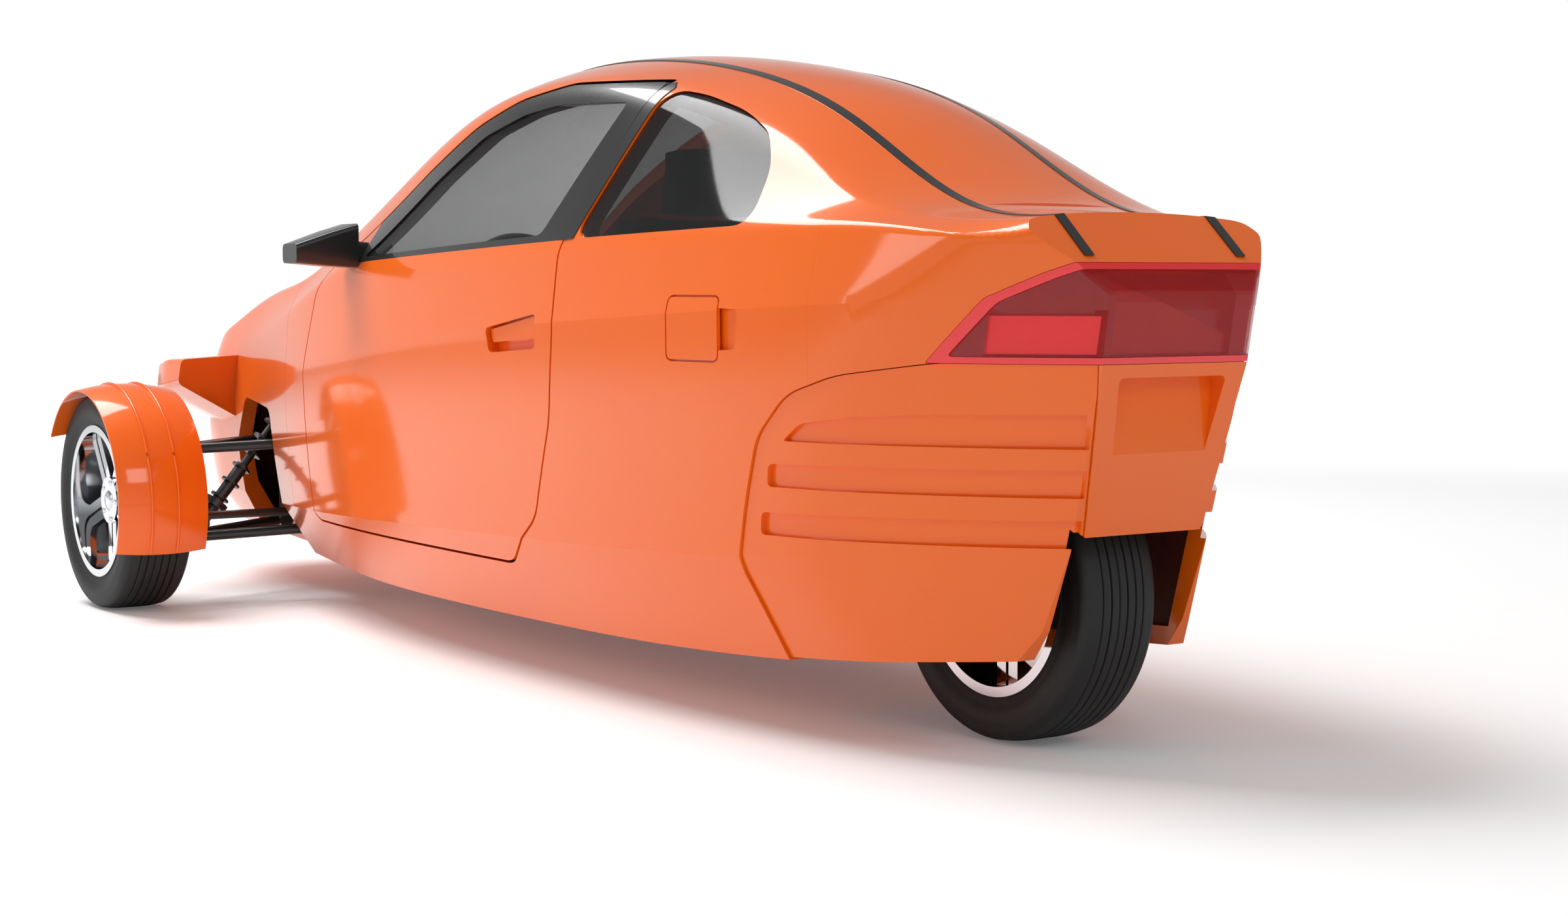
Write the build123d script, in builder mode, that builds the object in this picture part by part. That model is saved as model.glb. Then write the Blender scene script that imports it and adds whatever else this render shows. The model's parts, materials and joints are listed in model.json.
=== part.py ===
from build123d import *
import os
from math import cos, pi, radians, sin

os.makedirs("parts", exist_ok=True)

# A three wheeled car: two steered front wheels outside a narrow teardrop body, one rear wheel.
# Millimetres. +X forward, +Y left, +Z up, origin on the ground in the middle of the length.

# Main sizes of the vehicle
wheelbase = 2794
body_height = 1377
body_half = 542
front_track_half = 768
wall = 40
seam = 0.3
door_gap = 6
overrun = 900

# Shares of the wheelbase where the body begins and ends, measured from the rear axle
tail_share = -0.1560
nose_share = 1.3032
rear_axle_x = -(tail_share + nose_share) / 2 * wheelbase
front_axle_x = rear_axle_x + wheelbase

# Wheels: radius and half width of the tyre, the rim in it, its hub, spokes and brake disc
tyre_radius = 286
tyre_half_width = 91
tread_half_width = 66
tyre_shoulder = 10
sidewall_radius = 240
bead_radius = 190.5
bead_half_width = 72
flange_radius = 200
flange_width = 8
rim_wall = 9
hub_radius = 44
hub_face_radius = 62
hub_face_depth = 16
spoke_count = 5
spoke_width = 26
spoke_depth = 18
spoke_spread = 17
axle_radius = 15
running_fit = 0.06
disc_radius = 140
disc_thickness = 20


def along(share):
    """A place along the car: 0 at the rear axle, 1 at the front axle."""
    return rear_axle_x + share * wheelbase


def section_plane(x):
    """A plane across the car, its own x to the left and its y up."""
    return Plane(origin=(x, 0, 0), x_dir=(0, 1, 0), z_dir=(1, 0, 0))


def side_plane(y):
    """A plane along the car, its own x forward and its y up, facing right."""
    return Plane(origin=(0, y, 0), x_dir=(1, 0, 0), z_dir=(0, -1, 0))


def outline(shares):
    """A side outline from shares of the wheelbase and of the body's height."""
    return [(along(x), z * body_height) for x, z in shares]


def plan(shares):
    """A plan outline from shares of the wheelbase and of the body's half width."""
    return [(along(x), y * body_half) for x, y in shares]


# Body sections from tail to nose. Columns: station as a share of the wheelbase; bottom, side,
# belt and roof edge as pairs of half width (of body_half) and height (of body_height); crown height.
# The first one stands just behind the tail, which is then cut to its own profile.
section_shares = (
    (-0.1611, 0.370, 0.145, 0.535, 0.537, 0.515, 0.654, 0.370, 0.712, 0.726),
    (-0.021, 0.660, 0.127, 0.803, 0.537, 0.738, 0.701, 0.590, 0.719, 0.735),
    (0.107, 0.738, 0.109, 0.922, 0.537, 0.858, 0.699, 0.637, 0.806, 0.864),
    (0.250, 0.784, 0.098, 0.982, 0.537, 0.932, 0.686, 0.646, 0.900, 0.962),
    (0.394, 0.793, 0.093, 1.000, 0.508, 0.959, 0.672, 0.692, 0.933, 1.000),
    (0.537, 0.793, 0.091, 0.996, 0.472, 0.959, 0.657, 0.716, 0.897, 0.977),
    (0.716, 0.747, 0.091, 0.950, 0.436, 0.900, 0.646, 0.679, 0.773, 0.817),
    (0.859, 0.637, 0.094, 0.849, 0.378, 0.821, 0.581, 0.716, 0.649, 0.677),
    (1.000, 0.535, 0.102, 0.710, 0.327, 0.692, 0.523, 0.637, 0.605, 0.630),
    (1.145, 0.470, 0.120, 0.618, 0.305, 0.594, 0.472, 0.554, 0.541, 0.570),
    (1.238, 0.341, 0.156, 0.498, 0.290, 0.483, 0.414, 0.415, 0.468, 0.494),
    (nose_share, 0.166, 0.240, 0.231, 0.290, 0.212, 0.320, 0.157, 0.338, 0.347),
)
tuck_share = 0.04
rocker_share = 0.3
# Side profile of the tail: roof end, shelf rim, lamp top, lamp bottom, panel bottom, lower tip
tail_profile_shares = (
    (-0.026, 0.7285), (-0.104, 0.7200), (-0.141, 0.6510),
    (-0.1510, 0.5245), (tail_share, 0.2990), (-0.1500, 0.1200),
)
# Plan of the tail: half width of its back and where its slanted corners meet the sides
tail_back_half = 199
tail_corner_length = 190


def body_form(inset):
    """The closed form of the body, drawn in by the inset on every side."""
    with BuildPart() as form:
        for station, yb, zb, ys, zs, yt, zt, yr, zr, zc in section_shares:
            bottom_half = yb * body_half - inset
            side_half = ys * body_half - inset
            belt_half = yt * body_half - inset
            edge_half = yr * body_half - inset
            bottom_z = zb * body_height + inset
            side_z = zs * body_height
            belt_z = zt * body_height - inset / 4
            edge_z = zr * body_height - inset / 2
            crown_z = zc * body_height - inset
            low_z = bottom_z + rocker_share * (side_z - bottom_z)
            low_half = side_half - tuck_share * body_half
            x = along(station) - (inset if station == nose_share else 0)
            with BuildSketch(section_plane(x)):
                with BuildLine():
                    Line((-bottom_half, bottom_z), (bottom_half, bottom_z))
                    Line((bottom_half, bottom_z), (low_half, low_z))
                    ThreePointArc((low_half, low_z), (side_half, side_z), (belt_half, belt_z))
                    Line((belt_half, belt_z), (edge_half, edge_z))
                    ThreePointArc((edge_half, edge_z), (0, crown_z), (-edge_half, edge_z))
                    Line((-edge_half, edge_z), (-belt_half, belt_z))
                    ThreePointArc((-belt_half, belt_z), (-side_half, side_z), (-low_half, low_z))
                    Line((-low_half, low_z), (-bottom_half, bottom_z))
                make_face()
        loft()
        # The shelf, the sloped deck and the back are cut by the tail's side profile
        profile = [(x + inset, z - inset) for x, z in outline(tail_profile_shares)]
        above = body_height + overrun
        behind = along(tail_share) - overrun
        with BuildSketch(Plane.XZ):
            with BuildLine():
                Polyline(*profile, (behind, 0), (behind, above), (profile[0][0], above), close=True)
            make_face()
        extrude(amount=body_half + overrun, both=True, mode=Mode.SUBTRACT)
        # The back corners are cut off at a slant
        back_x = along(tail_share) + inset
        corner_x = back_x + tail_corner_length
        back_half = tail_back_half - inset / 3
        corner_half = tail_back_half + tail_corner_length - inset
        with BuildSketch(Plane.XY):
            with BuildLine():
                Polyline(
                    (back_x, back_half), (corner_x, corner_half), (corner_x, body_half + overrun),
                    (back_x - overrun, body_half + overrun), (back_x - overrun, back_half), close=True,
                )
            make_face()
            mirror(about=Plane.XZ)
        extrude(amount=body_height + overrun, mode=Mode.SUBTRACT)
    return form.part


body_outer = body_form(0)
body_inner = body_form(wall)
with BuildPart() as shell:
    add(body_outer)
    add(body_inner, mode=Mode.SUBTRACT)

# Panes lie just under the outer surface
glass_depth = 4
glass_thickness = 6
with BuildPart() as glass_skin:
    add(body_form(glass_depth))
    add(body_form(glass_depth + glass_thickness), mode=Mode.SUBTRACT)

# Outlines of the openings in the shell, as shares of the wheelbase and of the body's height
door_shares = (
    (0.403, 0.187), (0.782, 0.196), (0.810, 0.468), (0.793, 0.645), (0.770, 0.690), (0.698, 0.775),
    (0.610, 0.850), (0.515, 0.908), (0.374, 0.924), (0.311, 0.686), (0.326, 0.564),
)
window_shares = ((0.335, 0.700), (0.673, 0.672), (0.608, 0.810), (0.505, 0.882), (0.388, 0.897))
quarter_shares = ((0.229, 0.707), (0.283, 0.886), (0.200, 0.848), (0.107, 0.786), (0.088, 0.706))
windscreen_shares = ((0.534, 0.580), (0.700, 0.560), (0.812, 0.590), (0.868, 0.320))
cowl_share = 0.610
nose_split_share = 0.885
tail_split_share = 0.062
arm_window_shares = ((0.925, 0.060), (0.962, 0.378), (1.060, 0.394), (1.096, 0.300), (1.088, 0.060))
flap_shares = ((0.105, 0.520), (0.105, 0.606), (0.160, 0.606), (0.160, 0.520))
cover_shares = (
    (-0.400, -0.100), (-0.400, 0.5245), (-0.068, 0.5245), (0.000, 0.505), (0.054, 0.461),
    (0.082, 0.330), (0.093, 0.244), (0.040, -0.100),
)
lamp_shares = ((-0.200, 0.5245), (-0.068, 0.5245), (-0.098, 0.608), (-0.141, 0.655), (-0.200, 0.655))
corner_radius = 30


def cut_side(shares, near_y, far_y, grow=0, mode=Mode.SUBTRACT, radius=corner_radius):
    """Cut or keep what lies inside a side outline between two distances from the middle plane."""
    with BuildSketch(side_plane(far_y)) as face:
        with BuildLine():
            Polyline(*outline(shares), close=True)
        make_face()
        if grow:
            offset(amount=grow, kind=Kind.INTERSECTION)
        fillet(face.vertices(), radius)
    extrude(face.sketch, amount=far_y - near_y, mode=mode)


def cut_between(x_low, x_high, mode):
    """Keep or cut the stretch of the body between two places along it."""
    with Locations(((x_low + x_high) / 2, 0, body_height / 2)):
        Box(x_high - x_low, 2 * body_half + overrun, body_height + overrun, mode=mode)


def windscreen_prism(fit, mode):
    """Keep or cut what lies inside the windscreen's outline seen from above."""
    with BuildSketch(Plane.XY.offset(cowl_share * body_height)) as face:
        with BuildLine():
            points = plan(windscreen_shares)
            Polyline(*points, *[(x, -y) for x, y in reversed(points)], close=True)
        make_face()
        if fit:
            offset(amount=-fit, kind=Kind.INTERSECTION)
        fillet(face.vertices(), corner_radius)
    extrude(face.sketch, amount=body_height, mode=mode)


far_side = body_half + overrun
nose_split_x = along(nose_split_share)
tail_split_x = along(tail_split_share)

# Rear wheel arch: a tunnel open to the back and below
arch_half = 175
arch_top = 645
arch_front = 385
arch_back = 372
arch_mouth = 408
liner_wall = 8


def arch_tunnel(grow, mode):
    """The space of the rear wheel arch, wider by the given growth: it opens below and to the back."""
    front = rear_axle_x + arch_front + grow
    back = rear_axle_x - arch_back - grow
    behind = along(tail_share) - overrun
    top = arch_top + grow
    mouth_top = arch_mouth + grow
    with BuildSketch(side_plane(arch_half + grow)) as face:
        with BuildLine():
            Line((front, -overrun), (front, top - arch_front))
            RadiusArc((front, top - arch_front), (front - arch_front, top), -arch_front)
            Line((front - arch_front, top), (back + top - mouth_top, top))
            RadiusArc((back + top - mouth_top, top), (back, mouth_top), mouth_top - top)
            Line((back, mouth_top), (behind, mouth_top))
            Line((behind, mouth_top), (behind, -overrun))
            Line((behind, -overrun), (front, -overrun))
        make_face()
    extrude(face.sketch, amount=2 * (arch_half + grow), mode=mode)


def save(piece, name):
    """Label a finished piece and write it to its own file."""
    piece.part.label = name
    export_step(piece.part, f"parts/{name}.step")


def rod(start, end, radius, mode=Mode.ADD):
    """A round bar from one point to another."""
    reach = Vector(*end) - Vector(*start)
    with BuildSketch(Plane(origin=start, z_dir=reach)) as face:
        Circle(radius)
    extrude(face.sketch, amount=reach.length, mode=mode)


def block(low, high, mode=Mode.ADD):
    """A box between its lowest and highest corners."""
    centre = tuple((a + b) / 2 for a, b in zip(low, high))
    with Locations(centre):
        Box(*(b - a for a, b in zip(low, high)), mode=mode)


# Nose: everything ahead of the split, with the suspension openings and the grille mouth
mouth_half = 190
mouth_low = 265
mouth_high = 385
mouth_depth = 330
nose_floor_half = 240
with BuildPart() as nose_shell:
    add(shell.part)
    cut_between(nose_split_x + seam / 2, along(nose_share) + overrun, Mode.INTERSECT)
    cut_side(arm_window_shares, nose_floor_half, far_side)
    cut_side(arm_window_shares, -far_side, -nose_floor_half)
    with BuildSketch(section_plane(along(nose_share) - mouth_depth)) as mouth:
        with Locations((0, (mouth_low + mouth_high) / 2)):
            Rectangle(2 * mouth_half, mouth_high - mouth_low)
        fillet(mouth.vertices(), corner_radius)
    extrude(amount=mouth_depth + overrun, mode=Mode.SUBTRACT)
save(nose_shell, "nose_shell")

# Cabin: floor, sides, pillars and roof in one, with every opening cut
flap_thickness = 8
flap_reach_y = 400
filler_radius = 42
jack_pad_half = 32
jack_pad_low = 112
jack_pad_y = 330
jack_pad_shares = (0.30, 0.66)
with BuildPart() as flap_pocket:
    add(body_outer)
    add(body_form(flap_thickness + seam), mode=Mode.SUBTRACT)
    cut_side(flap_shares, flap_reach_y, far_side, door_gap, Mode.INTERSECT)
with BuildPart() as cabin_shell:
    add(shell.part)
    cut_between(tail_split_x + seam / 2, nose_split_x - seam / 2, Mode.INTERSECT)
    cut_side(door_shares, 0, far_side, door_gap)
    cut_side(window_shares, -far_side, 0)
    cut_side(quarter_shares, -far_side, far_side)
    add(flap_pocket.part, mode=Mode.SUBTRACT)
    cut_side(cover_shares, -far_side, far_side, seam)
    windscreen_prism(0, Mode.SUBTRACT)
    arch_tunnel(liner_wall + seam, Mode.SUBTRACT)
    flap_middle = [(low + high) / 2 for low, high in zip(flap_shares[0], flap_shares[2])]
    with BuildSketch(side_plane(body_half)) as filler:
        with Locations(outline([flap_middle])[0]):
            Circle(filler_radius)
    extrude(amount=body_half - flap_reach_y, mode=Mode.SUBTRACT)
    for share in jack_pad_shares:
        for side in (1, -1):
            block((along(share) - jack_pad_half, side * jack_pad_y - jack_pad_half, jack_pad_low),
                  (along(share) + jack_pad_half, side * jack_pad_y + jack_pad_half,
                   section_shares[4][2] * body_height + wall / 2))
save(cabin_shell, "cabin_shell")

# Tail: deck with shelf and shoulders, two quarter covers, the lamp band and the middle panel
panel_top_half = 173
panel_low_half = 205
panel_low_share = 0.299
plate_half = 142
plate_low = 546
plate_high = 702
plate_floor = 408
plate_corner = 20
plate_hole_radius = 3.5
plate_hole_spacing = 178
plate_hole_drop = 30


def panel_prism(grow, mode):
    """Keep or cut the middle of the back between its two slanted edges."""
    low_z = panel_low_share * body_height
    high_z = lamp_shares[0][1] * body_height
    with BuildSketch(section_plane(along(tail_share) - overrun)) as face:
        with BuildLine():
            Polyline(
                (-panel_low_half - grow, low_z - grow), (panel_low_half + grow, low_z - grow),
                (panel_top_half + grow, high_z + grow), (-panel_top_half - grow, high_z + grow), close=True,
            )
        make_face()
    extrude(face.sketch, amount=overrun + tail_corner_length, mode=mode)


with BuildPart() as deck_panel:
    add(shell.part)
    cut_between(along(tail_share) - overrun, tail_split_x - seam / 2, Mode.INTERSECT)
    cut_side(cover_shares, -far_side, far_side, seam)
    cut_side(lamp_shares, -far_side, far_side, seam)
    panel_prism(seam, Mode.SUBTRACT)
    arch_tunnel(liner_wall + seam, Mode.SUBTRACT)
save(deck_panel, "deck_panel")

with BuildPart() as quarter_covers:
    add(shell.part)
    cut_side(cover_shares, -far_side, far_side, 0, Mode.INTERSECT)
    cut_side(lamp_shares, -far_side, far_side, seam)
    panel_prism(seam, Mode.SUBTRACT)
    arch_tunnel(liner_wall + seam, Mode.SUBTRACT)
    block((-far_side, -arch_half, 0), (far_side, arch_half, body_height), Mode.SUBTRACT)
save(quarter_covers, "quarter_covers")

with BuildPart() as tail_panel:
    add(shell.part)
    panel_prism(0, Mode.INTERSECT)
    cut_side(lamp_shares, -far_side, far_side, seam)
    arch_tunnel(liner_wall + seam, Mode.SUBTRACT)
    with BuildSketch(section_plane(rear_axle_x - plate_floor)) as recess:
        with Locations((0, (plate_low + plate_high) / 2)):
            RectangleRounded(2 * plate_half, plate_high - plate_low, plate_corner)
    extrude(amount=-overrun, mode=Mode.SUBTRACT)
    with BuildSketch(section_plane(along(tail_share))) as plate_holes:
        with Locations((0, plate_high - plate_hole_drop)):
            with GridLocations(plate_hole_spacing, 0, 2, 1):
                Circle(plate_hole_radius)
    extrude(amount=2 * wall, mode=Mode.SUBTRACT)
save(tail_panel, "tail_panel")

with BuildPart() as tail_lamp:
    add(shell.part)
    cut_side(lamp_shares, -far_side, far_side, 0, Mode.INTERSECT)
save(tail_lamp, "tail_lamp")

# Liner of the rear wheel arch
with BuildPart() as wheel_arch:
    add(body_outer)
    arch_tunnel(liner_wall, Mode.INTERSECT)
    arch_tunnel(0, Mode.SUBTRACT)
save(wheel_arch, "wheel_arch")

# Glass
with BuildPart() as windscreen:
    add(glass_skin.part)
    windscreen_prism(seam, Mode.INTERSECT)
    cut_between(along(0.5), along(1), Mode.INTERSECT)
    block((-far_side * 4, -far_side, 0), (far_side * 4, far_side, cowl_share * body_height), Mode.SUBTRACT)
save(windscreen, "windscreen")
with BuildPart() as door_glass:
    add(glass_skin.part)
    cut_side(window_shares, 0, far_side, -seam, Mode.INTERSECT)
save(door_glass, "door_glass")
with BuildPart() as right_glass:
    add(glass_skin.part)
    cut_side(window_shares, -far_side, 0, -seam, Mode.INTERSECT)
save(right_glass, "right_glass")
with BuildPart() as quarter_glass:
    add(glass_skin.part)
    cut_side(quarter_shares, -far_side, far_side, -seam, Mode.INTERSECT)
save(quarter_glass, "quarter_glass")

# Door: the left side between pillar and nose, with the window frame and a recess for the handle
handle_shares = ((0.352, 0.560), (0.422, 0.553), (0.422, 0.596), (0.352, 0.603))
handle_floor_y = 516
handle_face_y = 531
handle_rim = 6
handle_corner = 16
with BuildPart() as door_shell:
    add(shell.part)
    cut_side(door_shares, 0, far_side, 0, Mode.INTERSECT)
    cut_side(window_shares, 0, far_side)
    cut_side(handle_shares, handle_floor_y, far_side, radius=handle_corner)
save(door_shell, "door_shell")
with BuildPart() as door_handle:
    cut_side(handle_shares, handle_floor_y + seam, handle_face_y, -handle_rim, Mode.ADD, handle_corner)
save(door_handle, "door_handle")

# Rubber seal round the door opening, on the inside of the wall
seal_width = 12
seal_depth = 12
with BuildPart() as door_seal:
    add(body_form(wall + seam))
    cut_side(door_shares, 0, far_side, door_gap + seal_width, Mode.INTERSECT)
    cut_side(door_shares, 0, far_side, -seal_width)
    add(body_form(wall + seam + seal_depth), mode=Mode.SUBTRACT)
save(door_seal, "door_seal")
with BuildPart() as fuel_flap:
    add(body_outer)
    add(body_form(flap_thickness), mode=Mode.SUBTRACT)
    cut_side(flap_shares, flap_reach_y, far_side, 0, Mode.INTERSECT)
save(fuel_flap, "fuel_flap")

# Black trim that stands proud of the skin: roof strips, deck strips and pillar covers
trim_rise = 2
strip_middle = 178
strip_half_width = 11
strip_front_share = 0.560
pillar_shares = ((0.236, 0.709), (0.304, 0.692), (0.366, 0.912), (0.289, 0.893))
with BuildPart() as trim_skin:
    add(body_form(-trim_rise))
    add(body_form(-seam), mode=Mode.SUBTRACT)
with BuildPart() as roof_strips:
    add(trim_skin.part)
    with BuildSketch(Plane.XY.offset(0.66 * body_height)) as strips:
        for side in (1, -1):
            with Locations((along((tail_share + strip_front_share) / 2), side * strip_middle)):
                Rectangle((strip_front_share - tail_share) * wheelbase, 2 * strip_half_width)
    extrude(amount=body_height, mode=Mode.INTERSECT)
save(roof_strips, "roof_strips")
with BuildPart() as pillar_trims:
    add(trim_skin.part)
    cut_side(pillar_shares, -far_side, far_side, 0, Mode.INTERSECT)
save(pillar_trims, "pillar_trims")

# Headlamp pods beside the nose. Columns of the stations: place as a share, middle half width,
# middle height, half width and half height of the oval
pod_stations = ((1.090, 330, 596, 30, 22), (1.135, 362, 592, 66, 52), (1.190, 378, 588, 84, 68))
lens_thickness = 8
with BuildPart() as headlamp_pods:
    for side in (1, -1):
        with BuildPart() as pod:
            for share, middle, height, half, rise in pod_stations:
                with BuildSketch(section_plane(along(share))):
                    with Locations((side * middle, height)):
                        Ellipse(half, rise)
            loft()
            add(body_outer, mode=Mode.SUBTRACT)
        add(pod.part.solids().sort_by(SortBy.VOLUME)[-1])
save(headlamp_pods, "headlamp_pods")
with BuildPart() as headlamps:
    for side in (1, -1):
        share, middle, height, half, rise = pod_stations[-1]
        with BuildPart() as lens:
            with BuildSketch(section_plane(along(share) + seam)):
                with Locations((side * middle, height)):
                    Ellipse(half - seam, rise - seam)
            extrude(amount=lens_thickness)
            add(body_outer, mode=Mode.SUBTRACT)
        add(lens.part)
save(headlamps, "headlamps")

# Grille in the mouth, engine and radiator behind it
grille_bar = 8
grille_rows = 5
grille_columns = 9
grille_depth = 60
with BuildPart() as grille:
    with BuildSketch(section_plane(along(nose_share) - grille_depth - 2 * grille_bar)) as bars:
        with Locations((0, (mouth_low + mouth_high) / 2)):
            with GridLocations(0, (mouth_high - mouth_low) / grille_rows, 1, grille_rows + 1):
                Rectangle(2 * mouth_half, grille_bar)
            with GridLocations(2 * mouth_half / grille_columns, 0, grille_columns + 1, 1):
                Rectangle(grille_bar, mouth_high - mouth_low)
    extrude(amount=2 * grille_bar)
    with BuildSketch(section_plane(along(nose_share) - mouth_depth)) as mouth_inside:
        with Locations((0, (mouth_low + mouth_high) / 2)):
            Rectangle(2 * (mouth_half - seam), mouth_high - mouth_low - 2 * seam)
        fillet(mouth_inside.vertices(), corner_radius - seam)
    extrude(amount=mouth_depth + overrun, mode=Mode.INTERSECT)
    add(body_outer, mode=Mode.INTERSECT)
save(grille, "grille")

engine_start = 225
engine_length = 300
engine_half = 180
engine_top = 600
with BuildPart() as engine_block:
    block((front_axle_x + engine_start, -engine_half, 0),
          (front_axle_x + engine_start + engine_length, engine_half, engine_top))
    add(body_inner, mode=Mode.INTERSECT)
save(engine_block, "engine_block")
radiator_gap = 25
radiator_depth = 32
radiator_top = 470
with BuildPart() as radiator:
    block((front_axle_x + engine_start + engine_length + radiator_gap, -mouth_half, 0),
          (front_axle_x + engine_start + engine_length + radiator_gap + radiator_depth, mouth_half, radiator_top))
    add(body_inner, mode=Mode.INTERSECT)
save(radiator, "radiator")

# Front suspension. The kingpin line stands at the wheel's inner side.
kingpin_y = 668
kingpin_radius = 12
upright_half_x = 24
upright_half_y = 18
upright_low = 190
upright_high = 396
eye_height = 28
eye_radius = 26
eye_gap = 2
arm_pivot_y = 270
arm_pivot_spread = 130
arm_rod_radius = 14
barrel_radius = 20
barrel_length = 56
lower_pivot_z = 196
upper_pivot_z = 430
lower_eye_z = upright_low - eye_gap - eye_height / 2
upper_eye_z = upright_high + eye_gap + eye_height / 2
rail_width = 40
rail_half_length = 205
rail_outer = arm_pivot_y - barrel_radius - seam
post_place = 185
tower_top = 610
tower_half = 34
with BuildPart() as front_subframe:
    for side in (1, -1):
        near, far = sorted((side * (rail_outer - rail_width), side * rail_outer))
        for height in (lower_pivot_z, upper_pivot_z):
            block((front_axle_x - rail_half_length, near, height - rail_width / 2),
                  (front_axle_x + rail_half_length, far, height + rail_width / 2))
        for place in (-post_place, post_place):
            block((front_axle_x + place - rail_width / 2, near, lower_pivot_z),
                  (front_axle_x + place + rail_width / 2, far, upper_pivot_z))
        block((front_axle_x - tower_half, near, upper_pivot_z), (front_axle_x + tower_half, far, tower_top))
    for place in (-post_place, post_place):
        block((front_axle_x + place - rail_width / 2, -rail_outer, 0),
              (front_axle_x + place + rail_width / 2, rail_outer, lower_pivot_z + rail_width / 2))
    block((front_axle_x - tower_half, -rail_outer, tower_top - rail_width),
          (front_axle_x + tower_half, rail_outer, tower_top))
    add(body_inner, mode=Mode.INTERSECT)
save(front_subframe, "front_subframe")


def wishbones(pivot_z, eye_z):
    """The two arms of one height: each a pair of tubes from two barrels to an eye on the kingpin."""
    with BuildPart() as arms:
        for side in (1, -1):
            eye = (front_axle_x, side * kingpin_y, eye_z)
            for place in (-arm_pivot_spread, arm_pivot_spread):
                x = front_axle_x + place
                rod((x, side * arm_pivot_y, pivot_z), eye, arm_rod_radius)
                rod((x - barrel_length / 2, side * arm_pivot_y, pivot_z),
                    (x + barrel_length / 2, side * arm_pivot_y, pivot_z), barrel_radius)
            low = (front_axle_x, side * kingpin_y, eye_z - eye_height / 2)
            high = (front_axle_x, side * kingpin_y, eye_z + eye_height / 2)
            rod(low, high, eye_radius)
            rod((low[0], low[1], low[2] - eye_height), (high[0], high[1], high[2] + eye_height),
                kingpin_radius + running_fit, Mode.SUBTRACT)
    return arms


save(wishbones(lower_pivot_z, lower_eye_z), "lower_arms")
save(wishbones(upper_pivot_z, upper_eye_z), "upper_arms")

# Coil dampers from the lower arms up to the towers. Columns: share of the length and radius
damper_steps = ((0.00, 0.42, 17), (0.34, 0.92, 11), (0.12, 0.16, 34), (0.84, 0.88, 34), (0.90, 1.00, 17))
coil_turns = 7
coil_radius = 27
coil_wire = 6
damper_foot_y = 560
damper_eye_radius = 16
damper_head_y = rail_outer + seam + damper_eye_radius
damper_head_z = 575


def damper(foot, head, scale):
    """A coil damper between two points, its spring drawn as rings round the tube."""
    start = Vector(*foot)
    reach = Vector(*head) - start
    for low, high, radius in damper_steps:
        rod(tuple(start + reach * low), tuple(start + reach * high), radius * scale)
    for turn in range(coil_turns):
        place = start + reach * (0.18 + 0.64 * turn / (coil_turns - 1))
        rod(tuple(place), tuple(place + reach.normalized() * coil_wire), coil_radius * scale)
    for point in (foot, head):
        rod((point[0] - coil_radius, point[1], point[2]), (point[0] + coil_radius, point[1], point[2]),
            damper_eye_radius)


leg_fall = (damper_foot_y - arm_pivot_y) / (kingpin_y - arm_pivot_y) * (lower_pivot_z - lower_eye_z)
damper_foot_z = lower_pivot_z - leg_fall + arm_rod_radius + damper_eye_radius + 1.6
with BuildPart() as front_dampers:
    for side in (1, -1):
        damper((front_axle_x, side * damper_foot_y, damper_foot_z),
               (front_axle_x, side * damper_head_y, damper_head_z), 1)
save(front_dampers, "front_dampers")

# Steering rack with its tie rods, sliding in a housing on the subframe
rack_back = 120
rack_z = 243
rack_radius = 11
housing_radius = 20
housing_half = 190
tie_end_radius = 15
arm_plate = 12
with BuildPart() as rack_housing:
    rod((front_axle_x - rack_back, -housing_half, rack_z), (front_axle_x - rack_back, housing_half, rack_z),
        housing_radius)
    for side in (1, -1):
        block((front_axle_x - post_place, side * housing_half / 2 - housing_radius, rack_z - housing_radius),
              (front_axle_x - rack_back, side * housing_half / 2 + housing_radius, rack_z))
    rod((front_axle_x - rack_back, -housing_half, rack_z), (front_axle_x - rack_back, housing_half, rack_z),
        rack_radius + running_fit, Mode.SUBTRACT)
    add(front_subframe.part, mode=Mode.SUBTRACT)
save(rack_housing, "rack_housing")
with BuildPart() as steering_rack:
    rod((front_axle_x - rack_back, -kingpin_y, rack_z), (front_axle_x - rack_back, kingpin_y, rack_z), rack_radius)
    for side in (1, -1):
        rod((front_axle_x - rack_back, side * kingpin_y, rack_z - tie_end_radius),
            (front_axle_x - rack_back, side * kingpin_y, rack_z + rack_radius), tie_end_radius)
save(steering_rack, "steering_rack")

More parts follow.
